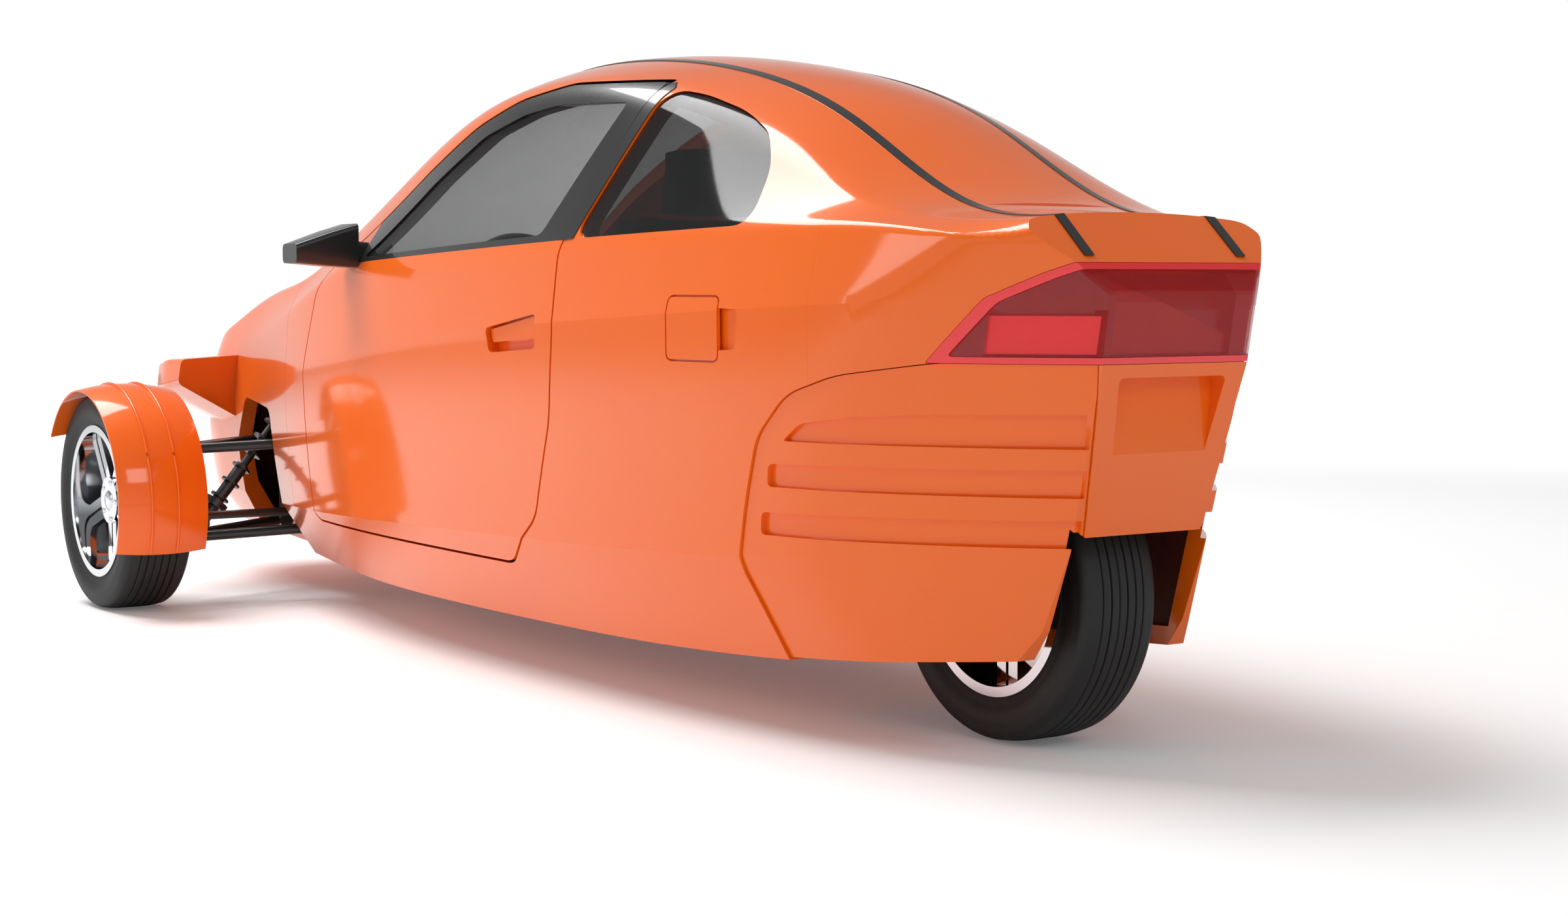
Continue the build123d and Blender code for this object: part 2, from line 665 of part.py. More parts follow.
# Knuckles with kingpins, spindle, steering arm and the struts that carry the fender
fender_radius = 304
fender_thickness = 5
fender_half_width = 118
fender_drop = 16
fender_front_angle = 33
fender_rear_angle = 203
strut_radius = 7
strut_angles = (55, 125)
spindle_reach = 34
for name, side in (("left", 1), ("right", -1)):
    hub = (front_axle_x, side * front_track_half, tyre_radius)
    inner = side * kingpin_y
    strut_y = side * (front_track_half - fender_half_width + strut_radius)
    with BuildPart() as knuckle:
        block((front_axle_x - upright_half_x, inner - upright_half_y, upright_low),
              (front_axle_x + upright_half_x, inner + upright_half_y, upright_high))
        rod((front_axle_x, inner, lower_eye_z - eye_height / 2), (front_axle_x, inner, upper_eye_z + eye_height / 2),
            kingpin_radius)
        rod((front_axle_x, inner, tyre_radius), (front_axle_x, hub[1] + side * spindle_reach, tyre_radius),
            axle_radius)
        block((front_axle_x - rack_back - tie_end_radius, inner - tie_end_radius,
               rack_z + rack_radius + seam),
              (front_axle_x, inner + tie_end_radius, rack_z + rack_radius + seam + arm_plate))
        for angle in strut_angles:
            reach = fender_radius - fender_drop - seam
            foot = (front_axle_x + upright_half_x * cos(radians(angle)), strut_y, tyre_radius + upright_half_x)
            head = (front_axle_x + reach * cos(radians(angle)), strut_y, tyre_radius + reach * sin(radians(angle)))
            rod(foot, head, strut_radius)
    save(knuckle, f"knuckle_{name}")
    with BuildPart() as fender:
        rear_angle = radians(fender_rear_angle)
        with BuildSketch(Plane(origin=hub, x_dir=(0, 1, 0), z_dir=(sin(rear_angle), 0, -cos(rear_angle)))):
            with BuildLine():
                top = fender_radius + fender_thickness
                ThreePointArc((-fender_half_width, fender_radius - fender_drop), (0, fender_radius),
                              (fender_half_width, fender_radius - fender_drop))
                Line((fender_half_width, fender_radius - fender_drop), (fender_half_width, top - fender_drop))
                ThreePointArc((fender_half_width, top - fender_drop), (0, top),
                              (-fender_half_width, top - fender_drop))
                Line((-fender_half_width, top - fender_drop), (-fender_half_width, fender_radius - fender_drop))
            make_face()
        revolve(axis=Axis(hub, (0, 1, 0)), revolution_arc=fender_rear_angle - fender_front_angle)
    save(fender, f"fender_{name}")


def tyre_form(hub):
    """A road tyre round an axle through the hub point, along Y."""
    with BuildPart() as tyre:
        with BuildSketch(Plane(origin=hub, x_dir=(0, 1, 0), z_dir=(1, 0, 0))):
            with BuildLine():
                shoulder = tyre_radius - tyre_shoulder
                for side in (1, -1):
                    Line((side * tread_half_width, tyre_radius), (side * tread_half_width * 1.18, shoulder))
                    ThreePointArc((side * tread_half_width * 1.18, shoulder),
                                  (side * tyre_half_width, sidewall_radius),
                                  (side * bead_half_width, flange_radius))
                    Line((side * bead_half_width, flange_radius), (side * bead_half_width, bead_radius))
                Line((-tread_half_width, tyre_radius), (tread_half_width, tyre_radius))
                Line((-bead_half_width, bead_radius), (bead_half_width, bead_radius))
            make_face()
        revolve(axis=Axis(hub, (0, 1, 0)))
    return tyre


def rim_form(hub, side, bore_reach):
    """A rim with paired spokes. Its open face looks to the given side, and its hub is bored."""
    seat = bead_radius - seam
    edge = bead_half_width + seam + flange_width
    with BuildPart() as rim:
        with BuildSketch(Plane(origin=hub, x_dir=(0, 1, 0), z_dir=(1, 0, 0))):
            with BuildLine():
                Polyline(
                    (-edge, seat - rim_wall), (edge, seat - rim_wall), (edge, flange_radius),
                    (bead_half_width + seam, flange_radius), (bead_half_width + seam, seat),
                    (-bead_half_width - seam, seat), (-bead_half_width - seam, flange_radius),
                    (-edge, flange_radius), close=True,
                )
            make_face()
        revolve(axis=Axis(hub, (0, 1, 0)))
        face_y = spoke_depth * 2
        rod((hub[0], hub[1] - side * face_y, hub[2]), (hub[0], hub[1] + side * face_y, hub[2]), hub_radius)
        rod((hub[0], hub[1] + side * (face_y - spoke_depth), hub[2]),
            (hub[0], hub[1] + side * (face_y + hub_face_depth / 2), hub[2]), hub_face_radius)
        spoke_length = seat - rim_wall / 2
        spoke_plane = Plane(origin=(hub[0], hub[1] + side * (face_y - spoke_depth), hub[2]),
                            x_dir=(1, 0, 0), z_dir=(0, side, 0))
        with BuildSketch(spoke_plane):
            with PolarLocations(0, spoke_count, start_angle=90 * side):
                for spread in (-spoke_spread, spoke_spread):
                    with Locations((spoke_length / 2, spread)):
                        Rectangle(spoke_length, spoke_width)
            Circle(axle_radius * 2, mode=Mode.SUBTRACT)
        extrude(amount=spoke_depth)
        rod((hub[0], hub[1] - side * face_y, hub[2]), (hub[0], hub[1] + side * bore_reach, hub[2]),
            axle_radius + running_fit, Mode.SUBTRACT)
    return rim


def disc_form(hub, side):
    """A brake disc round the hub's inner end."""
    with BuildPart() as disc:
        low = (hub[0], hub[1] - side * 2 * spoke_depth, hub[2])
        high = (hub[0], hub[1] - side * (2 * spoke_depth - disc_thickness), hub[2])
        rod(low, high, disc_radius)
        rod(low, high, hub_radius + seam, Mode.SUBTRACT)
    return disc


rim_edge = bead_half_width + seam + flange_width
for name, side in (("left", 1), ("right", -1)):
    hub = (front_axle_x, side * front_track_half, tyre_radius)
    save(tyre_form(hub), f"tyre_{name}")
    save(rim_form(hub, side, spindle_reach), f"rim_{name}")
    save(disc_form(hub, side), f"disc_{name}")
rear_hub = (rear_axle_x, 0, tyre_radius)
save(tyre_form(rear_hub), "tyre_rear")
save(rim_form(rear_hub, 1, rim_edge), "rim_rear")

# Swing arm, axle and dampers of the rear wheel
swing_inner = 110
swing_outer = 150
swing_half_height = 30
swing_pivot = 335
swing_pivot_z = 296
pivot_radius = 24
axle_half = 160
rear_damper_y = 140
rear_damper_foot = 60
rear_damper_head = -30
rear_damper_scale = 0.7
with BuildPart() as swing_arm:
    for side in (1, -1):
        near, far = sorted((side * swing_inner, side * swing_outer))
        block((rear_axle_x - swing_half_height, near, tyre_radius - swing_half_height),
              (rear_axle_x + swing_pivot, far, tyre_radius + swing_half_height))
    rod((rear_axle_x + swing_pivot, -arch_half + seam, swing_pivot_z),
        (rear_axle_x + swing_pivot, arch_half - seam, swing_pivot_z), pivot_radius)
    rod((rear_axle_x, -axle_half, tyre_radius), (rear_axle_x, axle_half, tyre_radius),
        axle_radius + running_fit, Mode.SUBTRACT)
save(swing_arm, "swing_arm")
with BuildPart() as rear_axle:
    rod((rear_axle_x, -axle_half, tyre_radius), (rear_axle_x, axle_half, tyre_radius), axle_radius)
save(rear_axle, "rear_axle")
with BuildPart() as rear_dampers:
    for side in (1, -1):
        damper((rear_axle_x + rear_damper_foot, side * rear_damper_y,
                tyre_radius + swing_half_height + damper_eye_radius + seam),
               (rear_axle_x + rear_damper_head, side * rear_damper_y,
                arch_top - damper_eye_radius - seam), rear_damper_scale)
save(rear_dampers, "rear_dampers")

# Cabin fittings: side outlines of the dashboard and of the seats, and their half widths
dash_shares = ((0.766, 0.537), (0.759, 0.581), (0.773, 0.617), (0.823, 0.639), (0.873, 0.643),
               (0.873, 0.600), (0.823, 0.523))
dash_half = 372
column_low = (along(0.777), 0, 720)
column_high = (along(0.701), 0, 810)
column_way = (Vector(*column_high) - Vector(*column_low)).normalized()
column_gap = 5
wheel_hub = tuple(Vector(*column_high) + column_way * column_gap)
column_radius = 24
shaft_radius = 12
wheel_rim_radius = 175
wheel_rim_thickness = 14
wheel_hub_radius = 46
wheel_hub_depth = 30
wheel_spokes = 3
with BuildPart() as dashboard:
    with BuildSketch(side_plane(dash_half)):
        with BuildLine():
            Polyline(*outline(dash_shares), close=True)
        make_face()
    extrude(amount=2 * dash_half)
    add(body_inner, mode=Mode.INTERSECT)
    rod(column_low, column_high, column_radius)
    rod(column_low, column_high, shaft_radius + running_fit, Mode.SUBTRACT)
save(dashboard, "dashboard")
with BuildPart() as steering_wheel:
    wheel_plane = Plane(origin=wheel_hub, x_dir=(0, 1, 0), z_dir=column_way)
    with BuildSketch(wheel_plane) as wheel_hub_face:
        Circle(wheel_hub_radius)
    extrude(amount=wheel_hub_depth)
    rod(tuple(Vector(*column_low) + column_way * column_radius), wheel_hub, shaft_radius)
    for spoke in range(wheel_spokes):
        angle = radians(90 + 360 / wheel_spokes * spoke)
        reach = wheel_plane.from_local_coords((wheel_rim_radius * cos(angle), wheel_rim_radius * sin(angle), 0))
        rod(tuple(wheel_plane.from_local_coords((0, 0, wheel_rim_thickness))), tuple(reach),
            wheel_rim_thickness * 0.7)
    with BuildSketch(Plane(origin=wheel_hub, x_dir=(0, 1, 0), z_dir=column_way.cross(Vector(0, 1, 0)))):
        with Locations((wheel_rim_radius, 0)):
            Circle(wheel_rim_thickness)
    revolve(axis=Axis(wheel_hub, tuple(column_way)))
save(steering_wheel, "steering_wheel")

seat_half = 225
# Columns: name, side outline in shares. The seats stand one behind the other.
seat_outlines = {
    "front_cushion": ((0.4760, 0.241), (0.640, 0.261), (0.648, 0.322), (0.632, 0.345), (0.480, 0.312)),
    "front_backrest": ((0.440, 0.245), (0.4761, 0.2445), (0.4801, 0.3155), (0.408, 0.735), (0.376, 0.735)),
    "rear_cushion": ((0.198, 0.244), (0.335, 0.264), (0.342, 0.325), (0.328, 0.348), (0.203, 0.315)),
    "rear_backrest": ((0.163, 0.248), (0.19814, 0.2475), (0.20314, 0.3185), (0.158, 0.722), (0.128, 0.722)),
}
for name, shares in seat_outlines.items():
    with BuildPart() as cushion:
        with BuildSketch(side_plane(seat_half)) as face:
            with BuildLine():
                Polyline(*outline(shares), close=True)
            make_face()
        extrude(amount=2 * seat_half)
        fillet(cushion.edges().filter_by(Axis.Y), 14)
    save(cushion, name)
headrest_half = 125
headrest_radius = 18
headrest_shares = (
    ((0.378, 0.7354), (0.402, 0.7354), (0.392, 0.835), (0.366, 0.835)),
    ((0.130, 0.7224), (0.152, 0.7224), (0.144, 0.800), (0.120, 0.800)),
)
with BuildPart() as headrests:
    for shares in headrest_shares:
        with BuildSketch(side_plane(headrest_half)):
            with BuildLine():
                Polyline(*outline(shares), close=True)
            make_face()
    extrude(amount=2 * headrest_half)
save(headrests, "headrests")
seat_frame_half = 180
seat_frame_shares = (
    ((0.490, -0.100), (0.628, -0.100), (0.628, 0.2590), (0.490, 0.2422)),
    ((0.212, -0.100), (0.324, -0.100), (0.324, 0.2620), (0.212, 0.2455)),
)
with BuildPart() as seat_frames:
    for shares in seat_frame_shares:
        with BuildSketch(side_plane(seat_frame_half)):
            with BuildLine():
                Polyline(*outline(shares), close=True)
            make_face()
    extrude(amount=2 * seat_frame_half)
    add(body_inner, mode=Mode.INTERSECT)
save(seat_frames, "seat_frames")

# Wedge mirrors. Columns: distance from the middle, place and height, length and height of the section
mirror_stations = ((430, 0.700, 0.690, 96, 100), (560, 0.699, 0.686, 118, 84), (656, 0.697, 0.680, 84, 40))
mirror_corner = 14
for name, side in (("left", 1), ("right", -1)):
    with BuildPart() as mirror_housing:
        for distance, share, height, length, rise in mirror_stations:
            with BuildSketch(side_plane(side * distance)):
                with Locations((along(share), height * body_height)):
                    RectangleRounded(length, rise, mirror_corner)
        loft()
        add(body_outer, mode=Mode.SUBTRACT)
    save(mirror_housing, f"mirror_{name}")
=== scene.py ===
import json
import math

import bmesh
import bpy
import numpy as np
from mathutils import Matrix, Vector

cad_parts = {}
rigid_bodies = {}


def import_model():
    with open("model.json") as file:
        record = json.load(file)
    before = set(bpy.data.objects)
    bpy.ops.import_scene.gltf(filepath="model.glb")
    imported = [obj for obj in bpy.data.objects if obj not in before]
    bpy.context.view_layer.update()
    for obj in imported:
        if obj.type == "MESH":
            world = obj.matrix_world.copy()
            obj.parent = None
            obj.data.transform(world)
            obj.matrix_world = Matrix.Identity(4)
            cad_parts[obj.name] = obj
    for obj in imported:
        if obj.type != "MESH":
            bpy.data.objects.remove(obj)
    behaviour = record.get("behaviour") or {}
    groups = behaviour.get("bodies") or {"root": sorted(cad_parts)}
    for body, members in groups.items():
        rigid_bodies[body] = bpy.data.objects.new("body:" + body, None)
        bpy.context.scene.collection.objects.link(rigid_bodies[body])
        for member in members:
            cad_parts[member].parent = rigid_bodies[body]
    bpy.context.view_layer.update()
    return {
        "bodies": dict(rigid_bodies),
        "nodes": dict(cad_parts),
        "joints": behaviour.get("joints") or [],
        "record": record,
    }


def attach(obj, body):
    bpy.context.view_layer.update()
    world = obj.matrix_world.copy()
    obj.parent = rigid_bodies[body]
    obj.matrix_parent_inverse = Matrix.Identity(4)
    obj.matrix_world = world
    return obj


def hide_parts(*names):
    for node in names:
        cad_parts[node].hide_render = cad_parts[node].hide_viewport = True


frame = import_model()
nodes = frame["nodes"]
print("frame loaded:", len(nodes), "nodes")

# The car's own places in metres: wheel centres, and the tyre that all three wheels share
car = dict(frontX=1.1914, rearX=-1.6026, trackHalf=0.768, wheelRadius=0.286)


class Wire:
    # One output of a material's nodes. Sums and products on it add Math nodes.
    def __init__(self, finish, socket):
        self.finish, self.socket = finish, socket

    def math(self, operation, *others, swap=False):
        values = [self, *others][::-1] if swap else [self, *others]
        return self.finish.node("ShaderNodeMath", dict(operation=operation), dict(enumerate(values)), "Value")

    def __add__(self, other): return self.math("ADD", other)
    def __radd__(self, other): return self.math("ADD", other)
    def __sub__(self, other): return self.math("SUBTRACT", other)
    def __rsub__(self, other): return self.math("SUBTRACT", other, swap=True)
    def __mul__(self, other): return self.math("MULTIPLY", other)
    def __rmul__(self, other): return self.math("MULTIPLY", other)
    def __truediv__(self, other): return self.math("DIVIDE", other)
    def __pow__(self, other): return self.math("POWER", other)


class Finish:
    # A material under way: node() adds any node, shader() closes it with a Principled shader.
    def __init__(self, name):
        self.material = bpy.data.materials.new(name)
        self.material.use_nodes = True
        self.tree = self.material.node_tree
        self.tree.nodes.clear()

    def node(self, kind, settings=None, inputs=None, output=0):
        made = self.tree.nodes.new(kind)
        for key, value in (settings or {}).items():
            setattr(made, key, value)
        for key, value in (inputs or {}).items():
            socket = made.inputs[key]
            if isinstance(value, Wire):
                self.tree.links.new(value.socket, socket)
            else:  # three numbers for a colour get a full alpha
                short = isinstance(value, tuple) and len(value) == 3 and socket.type == "RGBA"
                socket.default_value = (*value, 1) if short else value
        return Wire(self, made.outputs[output]) if made.outputs else None

    def place(self, stretch=(1, 1, 1)):
        # Object coordinates, stretched along the axes
        start = self.node("ShaderNodeTexCoord", None, None, "Object")
        return self.node("ShaderNodeMapping", None, dict(Vector=start, Scale=stretch), "Vector")

    def noise(self, where, scale, detail=2.0, rough=0.5):
        return self.node("ShaderNodeTexNoise", None, dict(Vector=where, Scale=scale, Detail=detail, Roughness=rough), "Fac")

    def blendColours(self, factor, first, second):
        return self.node("ShaderNodeMix", dict(data_type="RGBA"), {0: factor, 6: first, 7: second}, 2)

    def bump(self, height, distance, strength=1.0):
        return self.node("ShaderNodeBump", None, dict(Height=height, Distance=distance, Strength=strength), "Normal")

    def shader(self, **inputs):
        spaced = {key.replace("_", " "): value for key, value in inputs.items()}
        surface = self.node("ShaderNodeBsdfPrincipled", None, spaced, "BSDF")
        self.node("ShaderNodeOutputMaterial", None, dict(Surface=surface))
        self.material.diffuse_color = (0.5, 0.5, 0.5, 1)
        return self.material


def fromScreen(red, green, blue):
    # A colour as a screen shows it, turned to linear values by the sRGB curve
    return tuple(c / 12.92 if c <= 0.04045 else ((c + 0.055) / 1.055) ** 2.4 for c in (red / 255, green / 255, blue / 255))


def paintFinish():
    # Orange lacquer: a base mottled by very fine flakes, under a clear coat with a faint orange peel
    look = dict(base=fromScreen(246, 100, 8), warm=fromScreen(250, 116, 16), flake=2600, peel=340, peelDepth=0.00003)
    f = Finish("bodyPaint")
    where = f.place()
    flakes = f.noise(where, look["flake"], 1.0)
    cloud = f.noise(where, 2.2, 2.0)
    colour = f.blendColours(flakes * 0.5 + cloud * 0.35, look["base"], look["warm"])
    peel = f.noise(where, look["peel"], 1.0)
    return f.shader(Base_Color=colour, Roughness=0.36 + flakes * 0.12, Metallic=0.0, Coat_Weight=1.0, Coat_Roughness=0.09,
                    Specular_IOR_Level=0.12, Normal=f.bump(peel, look["peelDepth"]))


def plainFinish(name, colour, second, roughness, scale=60, grain=0.0002, mottle=0.6, **more):
    # Two close colours mixed by a cloud of noise, with a fine grain in the surface
    f = Finish(name)
    where = f.place()
    cloud = f.noise(where, scale * 0.12, 3.0)
    fine = f.noise(where, scale * 8, 2.0)
    mixed = f.blendColours(cloud * mottle + fine * (1 - mottle), colour, second)
    return f.shader(Base_Color=mixed, Roughness=roughness + (cloud - 0.5) * 0.12, Normal=f.bump(fine, grain), **more)


def metalFinish(name, colour, roughness, scale=40, grain=0.00005, **more):
    # Metal whose roughness drifts over the surface, with fine machining marks
    f = Finish(name)
    where = f.place()
    cloud = f.noise(where, scale * 0.2, 3.0)
    marks = f.noise(f.place((1, 12, 1)), scale * 6, 2.0)
    darker = tuple(c * 0.82 for c in colour)
    return f.shader(Base_Color=f.blendColours(cloud, darker, colour), Metallic=1.0, Roughness=roughness + cloud * roughness * 0.8,
                    Normal=f.bump(marks, grain), **more)


def glassFinish(name, colour, facing, edge, **more):
    # Tinted pane: clearer face on, closed at a glancing angle, with a breath of dust
    f = Finish(name)
    where = f.place()
    rim = f.node("ShaderNodeLayerWeight", None, dict(Blend=0.35), "Facing")
    dust = f.noise(where, 14, 4.0)
    alpha = facing + rim * (edge - facing) + dust * 0.03
    return f.shader(Base_Color=f.blendColours(dust, colour, tuple(c * 1.15 + 0.002 for c in colour)), Alpha=alpha,
                    Roughness=0.04 + dust * 0.03, **more)


finishes = dict(
    body_paint=paintFinish(),
    red_lens=glassFinish("redLens", fromScreen(190, 3, 8), 0.22, 0.7, Coat_Weight=0.4, Coat_Roughness=0.02),
    clear_lens=glassFinish("clearLens", fromScreen(200, 205, 210), 0.25, 0.85),
    window_glass=glassFinish("windowGlass", fromScreen(40, 42, 44), 0.07, 0.6, Specular_IOR_Level=0.35),
    # The arch liner is orange paint darkened to a red-brown: painted shade inside the wheel well
    arch_liner=plainFinish("archLinerPaintedShade", fromScreen(74, 26, 14), fromScreen(96, 36, 18), 0.5, 50, 0.0004),
    black_trim=plainFinish("blackTrim", fromScreen(24, 24, 26), fromScreen(34, 34, 36), 0.28, 40, 0.00005, Coat_Weight=0.5),
    seal_rubber=plainFinish("sealRubber", fromScreen(18, 18, 19), fromScreen(28, 28, 29), 0.65, 60, 0.0002),
    black_plastic=plainFinish("blackPlastic", fromScreen(26, 26, 27), fromScreen(36, 36, 37), 0.45, 60, 0.0003),
    engine_metal=metalFinish("engineMetal", fromScreen(120, 122, 125), 0.42, 30, 0.0004),
    radiator_metal=metalFinish("radiatorMetal", fromScreen(60, 62, 64), 0.45, 60, 0.0003),
    black_steel=plainFinish("blackSteel", fromScreen(20, 20, 21), fromScreen(32, 32, 33), 0.32, 50, 0.0001, Coat_Weight=0.4),
    damper_steel=metalFinish("damperSteel", fromScreen(92, 94, 97), 0.3, 40),
    cast_alloy=metalFinish("castAlloy", fromScreen(100, 102, 104), 0.42, 60, 0.0002),
    tyre_rubber=plainFinish("tyreRubber", fromScreen(20, 20, 21), fromScreen(29, 29, 30), 0.58, 70, 0.0003),
    bright_rim=metalFinish("brightRim", fromScreen(226, 228, 231), 0.05, 20, 0.00001),
    brake_steel=metalFinish("brakeSteel", fromScreen(140, 141, 143), 0.28, 40, 0.0001),
    cabin_plastic=plainFinish("cabinPlastic", fromScreen(38, 38, 40), fromScreen(50, 50, 52), 0.6, 60, 0.0004),
    seat_fabric=plainFinish("seatFabric", fromScreen(36, 36, 38), fromScreen(52, 52, 55), 0.85, 120, 0.0006),
)
for thing in nodes.values():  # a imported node's material is named as its slot
    thing.data.materials[0] = finishes[thing.data.materials[0].name.split(".")[0]]
# Three copies of the lamp's red with light painted in: the darkest is painted shade in the housing, the middle a fold
# in painted half light, the brightest a painted highlight on the reflectors with a faint painted glow
lampPaintedShade = plainFinish("lampPaintedShade", fromScreen(140, 4, 10), fromScreen(160, 8, 14), 0.25, 30, 0.0001, Coat_Weight=1.0)
lampPaintedHalfLight = plainFinish("lampPaintedHalfLight", fromScreen(176, 10, 18), fromScreen(204, 16, 24), 0.2, 30, 0.0001, Coat_Weight=1.0)
lampPaintedGlow = plainFinish("lampPaintedGlow", fromScreen(255, 26, 32), fromScreen(255, 60, 58), 0.15, 30, 0.0001, Coat_Weight=1.0,
                         Emission_Color=(1.0, 0.02, 0.03, 1.0), Emission_Strength=0.35)
lampRim = plainFinish("lampRim", fromScreen(236, 12, 20), fromScreen(255, 24, 32), 0.12, 30, 0.0001, Coat_Weight=1.0)
quarterGlass = glassFinish("quarterGlass", fromScreen(30, 31, 32), 0.50, 0.85, Specular_IOR_Level=0.35)
print("materials:", len(finishes), "finishes on", len(nodes), "nodes")


def studio():
    # A flat pale floor that turns white far off, a pale surround darker overhead, a high front lamp and weak fills
    look = dict(floor=0.86, far=(5.0, 12.0), world=0.42, ceiling=0.26, key=1250, fill=90, back=70)
    bpy.context.scene.view_settings.view_transform = "Standard"
    reach = 60
    floorMesh = bpy.data.meshes.new("floor")
    floorMesh.from_pydata([(-reach, -reach, 0), (reach, -reach, 0), (reach, reach, 0), (-reach, reach, 0)], [], [(0, 1, 2, 3)])
    floor = bpy.data.objects.new("floor", floorMesh)
    bpy.context.scene.collection.objects.link(floor)
    f = Finish("paleFloor")
    path = f.node("ShaderNodeLightPath", None, None, "Is Camera Ray")
    where = f.place()
    distance = f.node("ShaderNodeVectorMath", dict(operation="LENGTH"), {0: where}, "Value")
    away = f.node("ShaderNodeMapRange", dict(interpolation_type="SMOOTHSTEP"),
                  {"Value": distance, "From Min": look["far"][0], "From Max": look["far"][1]}, 0)
    haze = f.noise(where, 1.5)
    colour = f.blendColours(haze, (look["floor"],) * 3, (look["floor"] + 0.01,) * 3)
    floorMesh.materials.append(f.shader(Base_Color=colour, Roughness=0.95, Emission_Color=(1, 1, 1), Specular_IOR_Level=0.0,
                                        Emission_Strength=path * (away * 0.9 + 0.1)))
    world = bpy.data.worlds.new("studio")
    bpy.context.scene.world = world
    world.use_nodes = True
    tree = world.node_tree
    background = tree.nodes["Background"]
    background.inputs["Color"].default_value = (1, 1, 1, 1)
    rays = tree.nodes.new("ShaderNodeLightPath")
    ways = tree.nodes.new("ShaderNodeTexCoord")
    parts = tree.nodes.new("ShaderNodeSeparateXYZ")
    tree.links.new(ways.outputs["Generated"], parts.inputs[0])
    gloss = tree.nodes.new("ShaderNodeMapRange")  # what a mirror sees: white at the horizon, darker overhead
    tree.links.new(parts.outputs["Z"], gloss.inputs["Value"])
    for key, value in (("From Min", 0.02), ("From Max", 0.45), ("To Min", 0.80), ("To Max", look["ceiling"])):
        gloss.inputs[key].default_value = value
    first = tree.nodes.new("ShaderNodeMix")
    tree.links.new(rays.outputs["Is Glossy Ray"], first.inputs[0])
    first.inputs[2].default_value = look["world"]
    tree.links.new(gloss.outputs[0], first.inputs[3])
    seen = tree.nodes.new("ShaderNodeMath")
    seen.operation = "MAXIMUM"
    tree.links.new(rays.outputs["Is Camera Ray"], seen.inputs[0])
    tree.links.new(rays.outputs["Is Transmission Ray"], seen.inputs[1])
    second = tree.nodes.new("ShaderNodeMix")
    tree.links.new(seen.outputs[0], second.inputs[0])
    tree.links.new(first.outputs[0], second.inputs[2])
    second.inputs[3].default_value = 1.0
    tree.links.new(second.outputs[0], background.inputs["Strength"])
    for name, spot, target, size, power in (
        ("key", (5.0, 2.6, 10.0), (0, 0, 0.4), 6.5, look["key"]),
        ("sideFill", (0.5, 9.0, 4.2), (0, 0, 0.6), 3.0, look["fill"]),
        ("backFill", (-8.0, 0.5, 5.0), (-0.6, 0, 0.6), 2.4, look["back"]),
    ):
        lamp = bpy.data.lights.new(name, "AREA")
        lamp.shape, lamp.size, lamp.energy = "SQUARE", size, power
        thing = bpy.data.objects.new(name, lamp)
        bpy.context.scene.collection.objects.link(thing)
        thing.location = spot
        thing.rotation_euler = (Vector(target) - Vector(spot)).to_track_quat("-Z", "Y").to_euler()
    lens = bpy.data.cameras.new("camera")
    lens.sensor_width, lens.lens = 36, 56.43
    camera = bpy.data.objects.new("camera", lens)
    bpy.context.scene.collection.objects.link(camera)
    yaw, pitch = math.radians(-34.1), math.radians(-4.11)
    camera.location = (-5.1778, 2.9658, 0.8639)
    aim = Vector((math.cos(yaw) * math.cos(pitch), math.sin(yaw) * math.cos(pitch), math.sin(pitch)))
    camera.rotation_euler = aim.to_track_quat("-Z", "Y").to_euler()
    bpy.context.scene.camera = camera


studio()
print("studio: floor, lamps and camera")


def meshPiece(name, verts, quads, body, finish):
    # A mesh from whole arrays of vertices and four-sided faces, riding on a body
    mesh = bpy.data.meshes.new(name)
    mesh.vertices.add(len(verts))
    mesh.vertices.foreach_set("co", np.ascontiguousarray(verts, dtype=np.float32).ravel())
    mesh.loops.add(quads.size)
    mesh.loops.foreach_set("vertex_index", np.ascontiguousarray(quads, dtype=np.int32).ravel())
    mesh.polygons.add(len(quads))
    mesh.polygons.foreach_set("loop_start", np.arange(0, quads.size, 4, dtype=np.int32))
    mesh.update(calc_edges=True)
    mesh.validate()
    mesh.polygons.foreach_set("use_smooth", np.full(len(quads), True))
    piece = bpy.data.objects.new(name, mesh)
    bpy.context.scene.collection.objects.link(piece)
    mesh.materials.append(finishes[finish])
    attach(piece, body)
    return piece


def gridQuads(rows, columns, closeAcross, closeAlong):
    # Each place of a grid joined to its next row and column; either direction may close on itself
    across, lengthwise = np.arange(rows - (not closeAcross)), np.arange(columns - (not closeAlong))
    i, j = np.meshgrid(across, lengthwise, indexing="ij")
    iNext, jNext = (i + 1) % rows, (j + 1) % columns
    quads = [i * columns + j, iNext * columns + j, iNext * columns + jNext, i * columns + jNext]
    return np.stack(quads, axis=-1).reshape(-1, 4)


def revolve(profile, centre, turns):
    # Each profile point (radius, offset along the axle) goes round the axle, which lies along Y
    angle = np.linspace(0, 2 * np.pi, turns, endpoint=False)[:, None]
    radius, offset = profile[None, :, 0], profile[None, :, 1]
    x, y, z = centre[0] + radius * np.cos(angle), centre[1] + offset + 0 * angle, centre[2] + radius * np.sin(angle)
    return np.stack([x, y, z], axis=-1)


tyre = dict(half=0.066, width=0.091, crown=0.286, bead=0.1905, beadHalf=0.072, shoulder=0.022, grooves=6, grooveHalf=0.0018,
            grooveDepth=0.006, turns=144)


